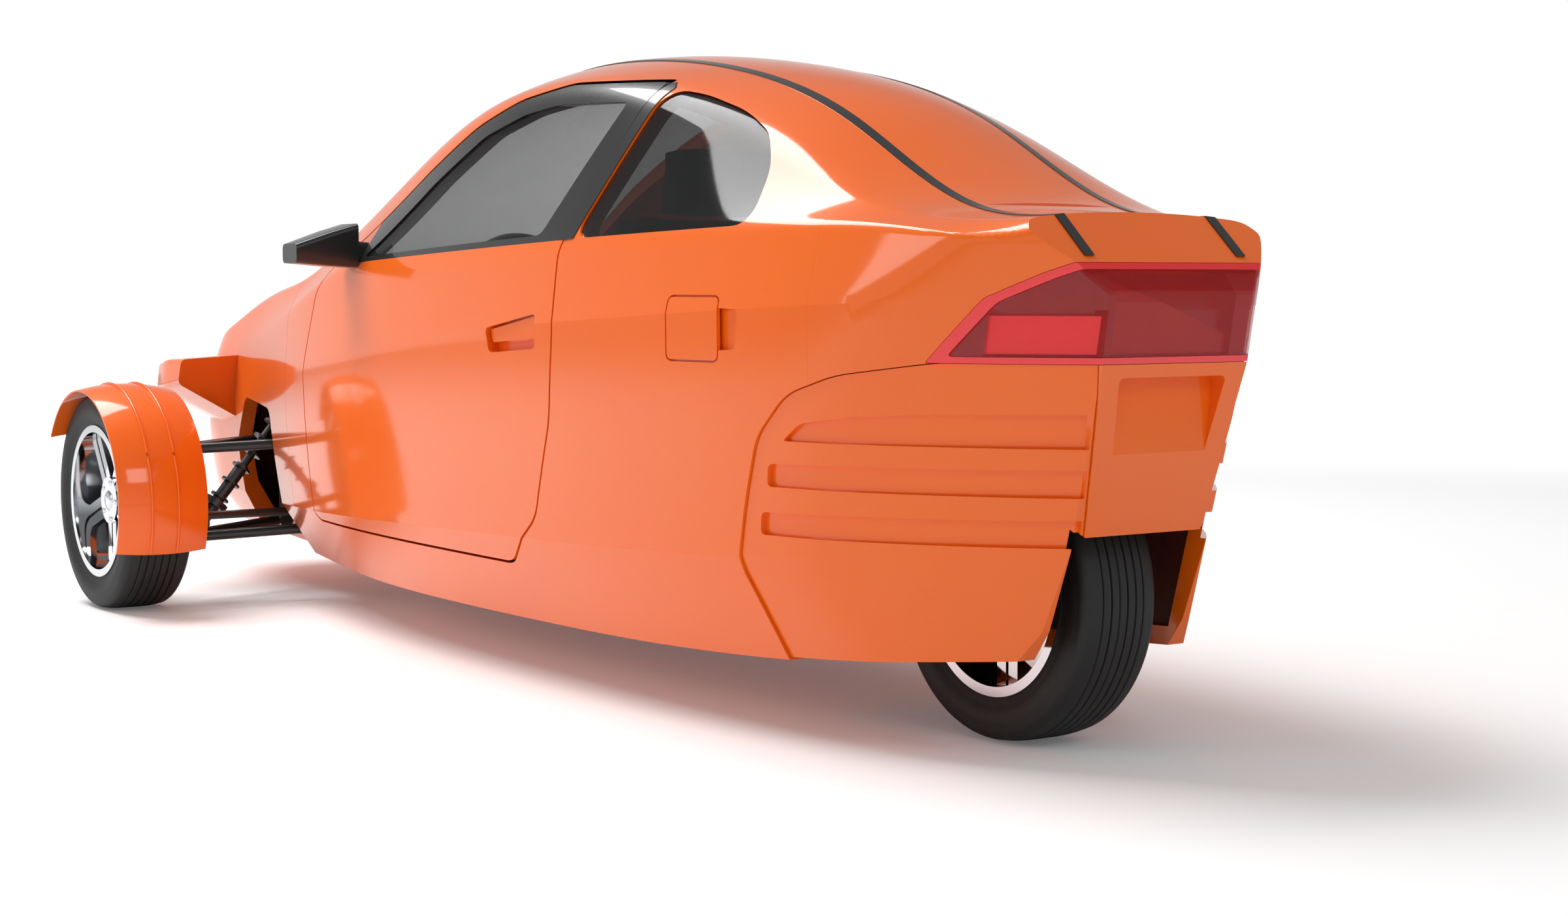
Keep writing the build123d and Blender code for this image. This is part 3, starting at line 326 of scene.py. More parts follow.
def tyreSection():
    # Crown from shoulder to shoulder with grooves, then the sidewalls bulging out and in to the beads
    g = tyre
    crownY = np.linspace(-g["half"], g["half"], 241)
    drop = 0.004 * (crownY / g["half"]) ** 4
    spots = np.linspace(-0.72, 0.72, g["grooves"]) * g["half"]
    near = np.abs(crownY[:, None] - spots[None, :]).min(axis=1)
    cut = g["grooveDepth"] * np.clip((g["grooveHalf"] + 0.0006 - near) / 0.0006, 0, 1)
    crown = np.stack([g["crown"] - drop - cut, crownY], axis=1)
    turn = np.linspace(0, np.pi / 2, 14)[1:]
    wide = g["width"] - 0.003
    shoulderRadius = crown[-1, 0] - g["shoulder"] * (1 - np.cos(turn))
    shoulderY = g["half"] + (wide - g["half"]) * np.sin(turn)
    s = np.linspace(0, 1, 26)[1:]
    wallRadius = shoulderRadius[-1] + (g["bead"] - shoulderRadius[-1]) * s
    wallY = wide + (g["beadHalf"] - wide) * s ** 2.2 + 0.003 * np.sin(np.pi * np.minimum(s * 1.6, 1))
    side = np.concatenate([np.stack([shoulderRadius, shoulderY], 1), np.stack([wallRadius, wallY], 1)])
    mirrored = side[::-1] * np.array([1, -1])
    return np.concatenate([mirrored, crown, side])


def tyres():
    # One grooved tyre for each wheel in place of the plain ring
    places = (("left", car["frontX"], car["trackHalf"]), ("right", car["frontX"], -car["trackHalf"]), ("rear", car["rearX"], 0))
    for name, x, y in places:
        grid = revolve(tyreSection(), (x, y, car["wheelRadius"]), tyre["turns"])
        quads = gridQuads(*grid.shape[:2], True, False)
        piece = meshPiece(f"grooved_tyre_{name}", grid.reshape(-1, 3), quads, f"wheel_{name}", "tyre_rubber")
        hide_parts(f"tyre_{name}")


tyres()
print("tyres: three, with circumferential grooves")


def joined(name, grids, body, finish):
    # Several equal grids in one mesh: the same quads for each, shifted by the points that came before
    points = np.stack(grids)
    count, rows, columns = points.shape[:3]
    one = gridQuads(rows, columns, False, True)
    quads = (one[None] + (np.arange(count) * rows * columns)[:, None, None]).reshape(-1, 4)
    return meshPiece(name, points.reshape(-1, 3), quads, body, finish)


def tube(path, radius, sides=14):
    # A round section carried along a path: each ring stands square to the path's own direction
    path = np.asarray(path, dtype=float)
    along = np.gradient(path, axis=0)
    along /= np.linalg.norm(along, axis=1, keepdims=True)
    helper = np.where(np.abs(along[:, 2:3]) < 0.9, np.array([[0, 0, 1.0]]), np.array([[1.0, 0, 0]]))
    first = np.cross(along, helper)
    first /= np.linalg.norm(first, axis=1, keepdims=True)
    second = np.cross(along, first)
    angle = np.linspace(0, 2 * np.pi, sides, endpoint=False)[None, :, None]
    wide = np.broadcast_to(np.asarray(radius, dtype=float), (len(path),))[:, None, None]
    return path[:, None, :] + wide * (np.cos(angle) * first[:, None, :] + np.sin(angle) * second[:, None, :])


def dome(centre, axis, profile, sides=24):
    # A profile of (radius, height) turned round an axis through a centre
    axis = np.asarray(axis, dtype=float)
    helper = np.array([0, 0, 1.0]) if abs(axis[2]) < 0.9 else np.array([1.0, 0, 0])
    first = np.cross(axis, helper)
    first /= np.linalg.norm(first)
    second = np.cross(axis, first)
    angle = np.linspace(0, 2 * np.pi, sides, endpoint=False)[None, :, None]
    radius, height = profile[:, 0][:, None, None], profile[:, 1][:, None, None]
    return np.asarray(centre) + radius * (np.cos(angle) * first + np.sin(angle) * second) + height * axis


shape = dict(
    half=0.542, height=1.377, base=2.794, tuck=0.04, rocker=0.3, bulge=0.005, blend=0.008,
    tailRows=54, otherRows=130, tailEnd=0.06,
    # Rows: station share; half width and height shares of floor edge, crease, belt and roof edge; crown height
    rows=((-0.1611, 0.370, 0.145, 0.535, 0.612, 0.515, 0.654, 0.370, 0.712, 0.726),
          (-0.021, 0.660, 0.127, 0.803, 0.600, 0.738, 0.701, 0.590, 0.719, 0.735),
          (0.107, 0.738, 0.109, 0.922, 0.588, 0.858, 0.699, 0.637, 0.812, 0.866),
          (0.250, 0.784, 0.098, 0.982, 0.573, 0.932, 0.686, 0.668, 0.905, 0.955),
          (0.394, 0.793, 0.093, 1.000, 0.556, 0.959, 0.672, 0.700, 0.930, 0.990),
          (0.537, 0.793, 0.091, 0.996, 0.532, 0.959, 0.657, 0.716, 0.897, 0.970),
          (0.716, 0.747, 0.091, 0.950, 0.490, 0.900, 0.646, 0.679, 0.773, 0.817),
          (0.859, 0.637, 0.094, 0.849, 0.450, 0.821, 0.581, 0.716, 0.649, 0.677),
          (1.000, 0.535, 0.102, 0.710, 0.410, 0.692, 0.523, 0.637, 0.605, 0.630),
          (1.145, 0.470, 0.120, 0.618, 0.370, 0.594, 0.472, 0.554, 0.541, 0.570),
          (1.238, 0.341, 0.156, 0.498, 0.330, 0.483, 0.414, 0.415, 0.468, 0.494),
          (1.3032, 0.166, 0.240, 0.231, 0.290, 0.212, 0.320, 0.157, 0.338, 0.347)),
    # Side profile of the back, from the roof's end over rim, lamp and panel to the lower tip
    back=((-0.026, 0.7285), (-0.1050, 0.7193), (-0.1425, 0.6507), (-0.1560, 0.6160), (-0.1480, 0.5245),
          (-0.1175, 0.2876), (-0.0975, 0.1816), (-0.0700, 0.1050)),
    # Plan arc of a back corner at the lamp's foot, and how far it leans for each metre down and up
    corner=dict(back=-2.0165, start=0.171, length=0.360, width=0.255, bulge=0.019, foot=0.7222, lean=0.28, lensLean=0.19),
)
outlines = dict(
    door=((0.400, 0.190), (0.806, 0.190), (0.812, 0.468), (0.788, 0.610), (0.767, 0.652), (0.700, 0.706), (0.600, 0.806),
          (0.515, 0.878), (0.455, 0.914), (0.385, 0.932), (0.262, 0.922), (0.3125, 0.672), (0.308, 0.560), (0.316, 0.420),
          (0.345, 0.270)),
    window=((0.345, 0.697), (0.675, 0.670), (0.571, 0.790), (0.494, 0.862), (0.434, 0.891), (0.386, 0.901), (0.290, 0.895)),
    frame=((0.200, 0.690), (0.318, 0.6885), (0.686, 0.6605), (0.676, 0.740), (0.676, 0.960), (0.200, 0.960)),
    quarter=((0.294, 0.6905), (0.249, 0.909), (0.215, 0.898), (0.165, 0.868), (0.128, 0.832), (0.107, 0.790), (0.090, 0.7035)),
    pillar=((0.3095, 0.688), (0.2595, 0.922), (0.2495, 0.911), (0.2945, 0.6905)),
    cover=((-0.400, -0.100), (-0.400, 0.5245), (-0.068, 0.5245), (0.000, 0.505), (0.040, 0.478), (0.068, 0.420),
           (0.082, 0.330), (0.093, 0.244), (0.040, -0.100)),
    lamp=((-0.200, 0.5245), (-0.0600, 0.5245), (-0.0953, 0.606), (-0.127, 0.638), (-0.1430, 0.6515), (-0.200, 0.6550)),
    flap=((0.105, 0.520), (0.105, 0.606), (0.160, 0.606), (0.160, 0.520)),
    finger=((0.087, 0.536), (0.084, 0.590), (0.110, 0.592), (0.108, 0.534)),
    handle=((0.333, 0.5265), (0.405, 0.517), (0.410, 0.5555), (0.333, 0.579)),
    grip=((0.336, 0.5420), (0.404, 0.533), (0.407, 0.5530), (0.336, 0.575)),
    armOpening=((0.925, 0.060), (0.962, 0.378), (1.060, 0.394), (1.096, 0.300), (1.088, 0.060)),
    louvres=(((-0.400, 0.4176), (0.046, 0.4165), (0.030, 0.441), (-0.010, 0.452), (-0.060, 0.459), (-0.400, 0.4685)),
             ((-0.400, 0.3540), (0.062, 0.3540), (0.060, 0.3850), (-0.400, 0.3975)),
             ((-0.400, 0.2905), (0.071, 0.2880), (0.069, 0.3190), (-0.400, 0.3340))),
    windscreen=((0.534, 0.580), (0.700, 0.560), (0.812, 0.590), (0.868, 0.320)),
)


def along(share):
    # A place along the car from its share of the wheelbase
    return car["rearX"] + share * shape["base"]


def splineThrough(x, places, values):
    # Natural cubic spline: the second derivatives come from one small linear system
    gap = np.diff(places)
    count = len(places)
    system, right = np.eye(count), np.zeros(values.shape)
    for k in range(1, count - 1):
        system[k, k - 1:k + 2] = gap[k - 1], 2 * (gap[k - 1] + gap[k]), gap[k]
        right[k] = 6 * ((values[k + 1] - values[k]) / gap[k] - (values[k] - values[k - 1]) / gap[k - 1])
    bend = np.linalg.solve(system, right)
    k = np.clip(np.searchsorted(places, x) - 1, 0, count - 2)
    b = ((x - places[k]) / gap[k])[:, None]
    a = 1 - b
    return a * values[k] + b * values[k + 1] + ((a ** 3 - a) * bend[k] + (b ** 3 - b) * bend[k + 1]) * (gap[k] ** 2 / 6)[:, None]


def cornerHalf(x, z, inset):
    # Half width that a back corner's plan arc leaves at a place, shifted by its lean below and above the lamp's foot
    c = shape["corner"]
    turn = math.atan2(c["width"], c["length"])
    chord = math.hypot(c["length"], c["width"])
    radius = (chord ** 2 / 4 + c["bulge"] ** 2) / (2 * c["bulge"])
    down = radius - c["bulge"]
    middleX = c["back"] + math.sqrt(2) * inset + c["length"] / 2 + down * math.sin(turn)
    middleY = c["start"] + c["width"] / 2 - down * math.cos(turn)
    shifted = x - np.where(z < c["foot"], c["lean"] * (c["foot"] - z), c["lensLean"] * (c["foot"] - z))
    return middleY + np.sqrt(np.maximum(radius ** 2 - (shifted - middleX) ** 2, (0.1 - middleY) ** 2))


def bodyGrid(inset):
    # Cross sections along the car: floor, skirt, bulged flank, belt line, shoulder and roof arc; belt and roof edge are rounded
    g = shape
    rows = np.array(g["rows"])
    tailStations = np.linspace(rows[0, 0], g["tailEnd"], g["tailRows"])
    stations = np.concatenate([tailStations, np.linspace(g["tailEnd"], rows[-1, 0], g["otherRows"])[1:]])
    sizes = splineThrough(stations, rows[:, 0], rows[:, 1:])
    h, w = g["height"], g["half"]
    column = lambda k, scale, shift: (sizes[:, k] * scale + shift)[:, None]
    floorY, sideY, beltY, edgeY = (column(k, w, -inset) for k in (0, 2, 4, 6))
    floorZ, sideZ = column(1, h, inset), column(3, h, 0)
    beltZ, edgeZ, crownZ = column(5, h, -inset / 4), column(7, h, -inset / 2), column(8, h, -inset)
    lowZ = floorZ + g["rocker"] * (sideZ - floorZ)
    lowY = sideY - g["tuck"] * w
    part = lambda count, end=False: np.linspace(0, 1, count, endpoint=end)[None, :]
    line = lambda y0, z0, y1, z1, t: (y0 + (y1 - y0) * t, z0 + (z1 - z0) * t)
    bend = lambda a, b, c, t: tuple((1 - t) ** 2 * p + 2 * t * (1 - t) * q + t ** 2 * r for p, q, r in zip(a, b, c))
    rise = np.maximum(crownZ - edgeZ, 0.004)
    radius = (edgeY ** 2 + rise ** 2) / (2 * rise)
    arc = lambda y: crownZ - radius + np.sqrt(radius ** 2 - y ** 2)
    belt, edge = (beltY, beltZ), (edgeY, edgeZ)
    toward = lambda a, b, share: tuple(p + (q - p) * share for p, q in zip(a, b))
    beltStart, beltEnd = toward(belt, (sideY, sideZ), 0.14), toward(belt, edge, 0.12)
    edgeStart, edgeStop = toward(edge, belt, 0.16), (edgeY * 0.88, arc(edgeY * 0.88))
    pieces = [
        line(0 * floorY, floorZ, floorY, floorZ, part(4)),
        line(floorY, floorZ, lowY, lowZ, part(4)),
    ]
    t = part(12)
    lower = line(lowY, lowZ, sideY, sideZ, t)
    pieces.append((lower[0] + 4 * g["bulge"] * t * (1 - t), lower[1]))
    pieces += [line(sideY, sideZ, *beltStart, part(7)), bend(beltStart, belt, beltEnd, part(7)),
               line(*beltEnd, *edgeStart, part(8)), bend(edgeStart, edge, edgeStop, part(9))]
    roofY = edgeStop[0] * (1 - part(16, True))
    pieces.append((roofY, arc(roofY)))
    y = np.concatenate([np.broadcast_to(p[0], (len(stations), p[0].shape[1])) for p in pieces], axis=1)
    z = np.concatenate([np.broadcast_to(p[1], (len(stations), p[1].shape[1])) for p in pieces], axis=1)
    x = np.broadcast_to(along(stations)[:, None], y.shape).copy()
    x[-1] -= inset
    corner = cornerHalf(x, z, inset)  # the flank runs smoothly into the corner: half the sum less a rounded half difference
    blended = (y + corner) / 2 - np.sqrt((y - corner) ** 2 / 4 + g["blend"] ** 2)
    y = y + (blended - y) * np.clip((y - 0.02) / 0.12, 0, 1) * np.clip((along(0.10) - x) / 0.25, 0, 1)
    right = np.stack([x, y, z], axis=-1)
    left = right[:, -2:0:-1] * np.array([1, -1, 1])
    return np.concatenate([right, left], axis=1)


def solid(rings):
    # A closed mesh from rings of points: quads between them, one flat face on each end, faces turned outward
    count, around = rings.shape[:2]
    i, j = np.meshgrid(np.arange(count - 1), np.arange(around), indexing="ij")
    jNext = (j + 1) % around
    quads = np.stack([i * around + j, (i + 1) * around + j, (i + 1) * around + jNext, i * around + jNext], axis=-1).reshape(-1, 4)
    ends = [list(range(around)), list(range((count - 1) * around, count * around))]
    mesh = bpy.data.meshes.new("form")
    mesh.from_pydata(rings.reshape(-1, 3).tolist(), [], quads.tolist() + ends)
    work = bmesh.new()
    work.from_mesh(mesh)
    bmesh.ops.remove_doubles(work, verts=work.verts, dist=1e-6)
    bmesh.ops.recalc_face_normals(work, faces=work.faces)
    work.to_mesh(mesh)
    work.free()
    return mesh


def carve(base, tool, operation="DIFFERENCE"):
    # One solid cut by, kept within or joined to another
    first, second = bpy.data.objects.new("base", base), bpy.data.objects.new("tool", tool)
    for thing in (first, second):
        bpy.context.scene.collection.objects.link(thing)
    step = first.modifiers.new("step", "BOOLEAN")
    step.operation, step.solver, step.object = operation, "MANIFOLD", second
    made = settled(first)
    for thing in (first, second):
        bpy.data.objects.remove(thing)
    return made


def carved(base, *steps):
    # A row of carve steps: each is a tool, or a tool and its operation
    for step in steps:
        base = carve(base, *step) if isinstance(step, tuple) else carve(base, step)
    return base


def rounded(corners, radius, steps=7):
    # Every corner becomes a short curve that starts and ends a radius away, or less where an edge is short
    before, after = np.roll(corners, 1, axis=0) - corners, np.roll(corners, -1, axis=0) - corners
    nearBefore, nearAfter = np.linalg.norm(before, axis=1, keepdims=True), np.linalg.norm(after, axis=1, keepdims=True)
    reach = np.minimum(radius, 0.45 * np.minimum(nearBefore, nearAfter))
    start, end = corners + before / nearBefore * reach, corners + after / nearAfter * reach
    t = np.linspace(0, 1, steps)[None, :, None]
    curve = (1 - t) ** 2 * start[:, None] + 2 * t * (1 - t) * corners[:, None] + t ** 2 * end[:, None]
    return curve.reshape(-1, 2)


def grown(corners, amount):
    # Every edge moves out by the amount, whichever way the outline runs
    edge = np.roll(corners, -1, axis=0) - corners
    area = (corners[:, 0] * np.roll(corners[:, 1], -1) - np.roll(corners[:, 0], -1) * corners[:, 1]).sum()
    normal = np.stack([edge[:, 1], -edge[:, 0]], axis=1) / np.linalg.norm(edge, axis=1, keepdims=True) * np.sign(area)
    last = np.roll(normal, 1, axis=0)
    return corners + amount * (normal + last) / (1 + (normal * last).sum(axis=1, keepdims=True))


def prism(flat, axis, near, far):
    # A flat outline carried straight along one axis: that coordinate takes its two ends in turn
    return solid(np.stack([np.insert(flat, axis, place, axis=1) for place in (near, far)]))


def sidePrism(shares, nearY, farY, grow=0.0, radius=0.030):
    # A side outline in shares, carried straight across from one distance to another
    corners = np.array([(along(x), z * shape["height"]) for x, z in shares])
    return prism(rounded(grown(corners, grow) if grow else corners, radius), 1, nearY, farY)


def planPrism(points, lowZ, highZ, radius=0.030):
    # A plan outline carried straight up
    return prism(rounded(np.array(points), radius), 2, lowZ, highZ)


def backPrism(points, nearX, farX, radius=0.014):
    # An outline seen from behind carried along the car
    return prism(rounded(np.array(points), radius), 0, nearX, farX)


def cornerTool(inset, side):
    # The plan arc of a back corner with all that lies outside it, leaning forward going down and back going up
    c = shape["corner"]
    back = c["back"] + math.sqrt(2) * inset
    turn = math.atan2(c["width"], c["length"])
    chord = math.hypot(c["length"], c["width"])
    t = np.linspace(0, 1, 25)
    swell = 4 * c["bulge"] * t * (1 - t)
    arcX = back + chord * t * math.cos(turn) - swell * math.sin(turn)
    arcY = c["start"] + chord * t * math.sin(turn) + swell * math.cos(turn)
    x = np.concatenate([arcX, [arcX[-1], back - 0.6, back - 0.6]])
    y = np.concatenate([arcY, [1.2, 1.2, arcY[0]]]) * side
    rings = []
    for z, shift in ((-0.3, c["lean"] * (c["foot"] + 0.3)), (c["foot"], 0.0), (1.7, -c["lensLean"] * (1.7 - c["foot"]))):
        rings.append(np.stack([x + shift, y, np.full(len(x), z)], axis=1))
    return solid(np.stack(rings))


forms = {}


def bodyForm(inset):
    # The closed body drawn in by an inset, its back and back corners cut away; each inset is made once
    if inset not in forms:
        profile = [(along(x) + inset, z * shape["height"] - inset) for x, z in shape["back"]]
        profile += [(-3.0, -0.2), (-3.0, 2.4), (profile[0][0], 2.4)]
        backTool = prism(np.array(profile), 1, -1.5, 1.5)
        forms[inset] = carved(solid(bodyGrid(inset)), backTool, cornerTool(inset, 1), cornerTool(inset, -1))
    return forms[inset].copy()


def skin(outer, inner):
    # The layer between two depths under the body's surface
    return carve(bodyForm(outer), bodyForm(inner))


def box(low, high):
    # A plain cutting box between two corners
    flat = np.array([(low[1], low[2]), (high[1], low[2]), (high[1], high[2]), (low[1], high[2])], dtype=float)
    return prism(flat, 0, low[0], high[0])


def archTool(grow):
    # The rear wheel's space: an arch from the side, open below and behind
    front, back, top, mouth = car["rearX"] + 0.385 + grow, car["rearX"] - 0.285 - grow, 0.645 + grow, 0.388 + grow
    corners = np.array([(front, -0.5), (front, top), (back, top), (back, mouth), (-2.9, mouth), (-2.9, -0.5)])
    half = 0.150 + grow
    return prism(rounded(corners, 0.20), 1, -half, half)


def fitted(name, mesh, body, slotName, *replaced, sharp=9):
    # A finished panel: shaded smooth up to a small angle, riding on its body in place of the plainer nodes
    mesh.materials.clear()
    mesh.materials.append(finishes[slotName])
    mesh.polygons.foreach_set("use_smooth", np.full(len(mesh.polygons), True))
    mesh.set_sharp_from_angle(angle=math.radians(sharp))
    mesh.update()
    piece = bpy.data.objects.new(name, mesh)
    bpy.context.scene.collection.objects.link(piece)
    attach(piece, body)
    if replaced:
        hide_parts(*replaced)
    print("panel:", name, len(mesh.polygons), "faces")
    return piece


def settled(thing):
    # The mesh that an object's modifiers give now
    graph = bpy.context.evaluated_depsgraph_get()
    return bpy.data.meshes.new_from_object(thing.evaluated_get(graph))


def pointsOf(mesh):
    # A mesh's vertices as one array
    found = np.empty(len(mesh.vertices) * 3, dtype=np.float32)
    mesh.vertices.foreach_get("co", found)
    return found.reshape(-1, 3).astype(float)


panels = dict(
    wall=0.040, seam=0.0015, gap=0.006, archGap=0.0083, lampRound=0.008, glass=(0.004, 0.010), glassLap=0.006,
    splitShare=0.020, noseShare=0.885, nosePart=0.0008, deckPart=0.0002, flapDepth=0.0085, flapThick=0.008, fingerDepth=0.014,
    coverDrop=0.005, louvreDepth=0.016, linerInset=0.030, far=0.9,
    panelEdge=((-0.135, 0.397), (0.135, 0.397), (0.171, 0.7222), (-0.171, 0.7222)),  # the tail panel seen from behind
    recess=((-0.105, 0.537), (0.105, 0.537), (0.126, 0.698), (-0.126, 0.698)), recessDepth=0.372,
    intake=((-0.190, 0.265), (0.190, 0.265), (0.190, 0.385), (-0.190, 0.385)),
    sidePocket=(0.165, 0.300, 0.735, 0.815), midPocket=(-0.128, 0.150, 0.735, 0.882),  # y and z limits behind the lamp
    fold=((0.146, 0.739), (-0.124, 0.739), (-0.124, 0.770), (0.146, 0.868)),
    strip=(0.167, 0.189),  # inner and outer distance of the black strips on roof and deck
)
keep = "INTERSECT"


def across(lowX, highX):
    # All of the car between two places along it
    return box((lowX, -1, -0.5), (highX, 1, 2))


def panelTool(grow=0):
    # The tail panel's outline from behind, widened by the seam round it
    edge = panels["panelEdge"]
    return backPrism(grown(np.array(edge), grow) if grow else edge, -2.9, -1.83, 0.001)


def bodywork():
    # Every outer panel cut from one smooth form, as on the real body
    o, g, far = outlines, panels, panels["far"]
    wall = skin(0, g["wall"])
    splitX, noseX = along(g["splitShare"]), along(g["noseShare"])
    screenCorners = [(along(x), y * shape["half"]) for x, y in o["windscreen"]]
    screen = screenCorners + [(x, -y) for x, y in reversed(screenCorners)]
    lowScreen = 0.610 * shape["height"]
    frameTool = lambda grow, near, end: sidePrism(o["frame"], near, end, grow, 0.004)
    lampHole = lambda: sidePrism(o["lamp"], -far, far, 0.001, g["lampRound"])
    cabin = carved(
        wall.copy(), (across(splitX, noseX - g["nosePart"]), keep), sidePrism(o["door"], 0, far, g["gap"]),
        sidePrism(o["window"], -far, 0), sidePrism(o["quarter"], -far, far, 0, 0.05),
        sidePrism(o["cover"], -far, far, g["seam"]), planPrism(screen, lowScreen, 2.2), archTool(g["archGap"]),
        carve(skin(-0.004, g["flapDepth"]), sidePrism(o["flap"], 0.3, far, 0.004, 0.018), keep),
        carve(skin(-0.004, g["fingerDepth"]), sidePrism(o["finger"], 0.3, far, 0, 0.010), keep))
    fitted("cabin_skin", cabin, "body", "body_paint", "cabin_shell")
    flap = carve(skin(0, g["flapThick"]), sidePrism(o["flap"], 0.3, far, 0, 0.014), keep)
    fitted("flap_skin", flap, "fuel_flap", "body_paint", "fuel_flap")
    nose = carved(wall.copy(), (across(noseX + g["nosePart"], 2.3), keep), sidePrism(o["armOpening"], 0.24, far),
                  sidePrism(o["armOpening"], -far, -0.24), backPrism(g["intake"], 1.70, 2.3, 0.030))
    fitted("nose_skin", nose, "body", "body_paint", "nose_shell")
    door = carved(wall.copy(), (sidePrism(o["door"], 0, far), keep), frameTool(0.0003, 0, far),
                  sidePrism(o["handle"], 0.516, far, 0, 0.014))
    fitted("door_skin", door, "door", "body_paint", "door_shell")
    frame = carved(wall.copy(), (sidePrism(o["door"], 0, far), keep), (frameTool(0, 0, far), keep),
                   sidePrism(o["window"], 0, far, 0, 0.02))
    fitted("door_window_frame", frame, "door", "black_trim")
    fitted("door_grip", sidePrism(o["grip"], 0.5163, 0.533, 0, 0.008), "door", "body_paint", "door_handle")
    glass = skin(*g["glass"])
    pane = lambda name, near, end, radius: carve(glass.copy(), sidePrism(o[name], near, end, g["glassLap"], radius), keep)
    fitted("door_pane", pane("window", 0, far, 0.02), "door", "window_glass", "door_glass")
    fitted("right_pane", pane("window", -far, 0, 0.02), "body", "window_glass", "right_glass")
    dark = fitted("quarter_panes", pane("quarter", -far, far, 0.05), "body", "window_glass", "quarter_glass")
    dark.data.materials[0] = quarterGlass
    front = carved(glass.copy(), (planPrism([(x, y * 1.01) for x, y in screen], lowScreen, 2.2), keep),
                   (box((along(0.5), -1, lowScreen), (1.19, 1, 2)), keep))
    fitted("front_screen", front, "body", "window_glass", "windscreen")
    seal = carved(bodyForm(0.0403), (sidePrism(o["door"], 0, far, 0.012), keep), sidePrism(o["door"], 0, far, -0.010),
                  bodyForm(0.046))
    fitted("door_rubber", seal, "body", "seal_rubber", "door_seal")
    deck = carved(wall.copy(), (across(-2.5, splitX - g["deckPart"]), keep), sidePrism(o["cover"], -far, far, g["seam"]),
                  lampHole(), panelTool(g["seam"]), archTool(g["archGap"]))
    fitted("deck_skin", deck, "body", "body_paint", "deck_panel")
    bands = carved(skin(-0.004, g["louvreDepth"]), (box((-2.5, -1, 0.3), (along(0.12), 1, 0.70)), keep), panelTool(0.006))
    covers = carved(skin(g["coverDrop"], g["wall"]), (sidePrism(o["cover"], -far, far), keep), lampHole(),
                    panelTool(g["seam"]), archTool(0.010),
                    *[carve(bands.copy(), sidePrism(shares, -far, far, 0, 0.012), keep) for shares in o["louvres"]])
    fitted("rear_covers", covers, "body", "body_paint", "quarter_covers")
    pan = carve(box((car["rearX"] - 0.45, -0.150, 0.520), (car["rearX"] - 0.342, 0.150, 0.715)), bodyForm(0.004), keep)
    recess = backPrism(g["recess"], -2.5, car["rearX"] - g["recessDepth"])
    panel = carved(wall.copy(), (panelTool(), keep), (pan, "UNION"), lampHole(), archTool(g["archGap"]), recess)
    fitted("back_panel", panel, "body", "body_paint", "tail_panel")
    tailLamp()
    liner = nodes["wheel_arch"].data.copy()
    work = bmesh.new()
    work.from_mesh(liner)
    bmesh.ops.remove_doubles(work, verts=work.verts, dist=1e-5)
    work.to_mesh(liner)
    work.free()
    fitted("arch_lining", carve(liner, bodyForm(g["linerInset"]), keep), "body", "arch_liner", "wheel_arch", sharp=30)
    trim = skin(-0.002, 0.001)
    inner, outer = g["strip"]
    strips, other = [planPrism([(-2.05, side * inner), (-0.04, side * inner), (-0.04, side * outer), (-2.05, side * outer)],
                               0.66 * shape["height"], 2.2, 0.004) for side in (1, -1)]
    fitted("roof_trim", carve(trim.copy(), carve(strips, other, "UNION"), keep), "body", "black_trim", "roof_strips")
    pillars = carve(trim.copy(), sidePrism(o["pillar"], -far, far, 0, 0.004), keep)
    edging = carved(trim.copy(), (sidePrism(o["door"], -far, 0), keep), (frameTool(0, -far, 0), keep),
                    sidePrism(o["window"], -far, 0, 0, 0.02))
    fitted("pillar_covers", carve(pillars, edging, "UNION"), "body", "black_trim", "pillar_trims")


def tailLamp():
    # A red cover inside a bright border, and behind it a housing with pockets in painted shade, two blocks with a
    # painted highlight and glow, and a fold in painted half light
    g, lampSide = panels, panels["far"]
    lamp = sidePrism(outlines["lamp"], -lampSide, lampSide, 0, g["lampRound"])
    window = sidePrism(grown(np.array(outlines["lamp"]), -0.008), -lampSide, lampSide, 0, 0.012)
    cover = carved(skin(0, 0.004), (lamp.copy(), keep), (window.copy(), keep))
    fitted("lamp_cover", cover, "body", "red_lens", "tail_lamp")
    border = fitted("lamp_border", carved(skin(0, 0.006), (lamp.copy(), keep), window), "body", "red_lens")
    border.data.materials[0] = lampRim
    y0, y1, z0, z1 = g["sidePocket"]
    sides = (("left", g["sidePocket"]), ("right", (-y1, -y0, z0, z1)))
    places = (g["sidePocket"], sides[1][1], g["midPocket"])
    pockets = [box((-2.3, y0, z0), (-1.6, y1, z1)) for y0, y1, z0, z1 in places]
    hollows = [carve(skin(0.004, 0.034), pocket, keep) for pocket in pockets]
    bowl = fitted("lamp_bowl", carved(skin(0.008, 0.060), (lamp.copy(), keep), *hollows), "body", "red_lens")
    # The housing's dark red is painted shade
    bowl.data.materials[0] = lampPaintedShade
    for name, (y0, y1, z0, z1) in sides:
        block = carve(skin(0.016, 0.030), box((-2.3, y0 + 0.004, z0 + 0.004), (-1.6, y1 - 0.004, z1 - 0.010)), keep)
        paintedLightPart = fitted(f"lamp_reflector_{name}", block, "body", "red_lens")
        # The blocks' bright red and faint glow are a painted highlight
        paintedLightPart.data.materials[0] = lampPaintedGlow
    paintedLightPart = fitted("lamp_fold", carve(skin(0.020, 0.033), backPrism(g["fold"], -2.3, -1.6, 0.004), keep), "body", "red_lens")
    # The fold's middle red is painted half light
    paintedLightPart.data.materials[0] = lampPaintedHalfLight


bodywork()
print("bodywork: panels cut from the body form")


wheelFittings = dict(nutCircle=0.050, nutRadius=0.0095, nutHeight=0.014, capRadius=0.030, capHeight=0.016, faceDepth=0.030)


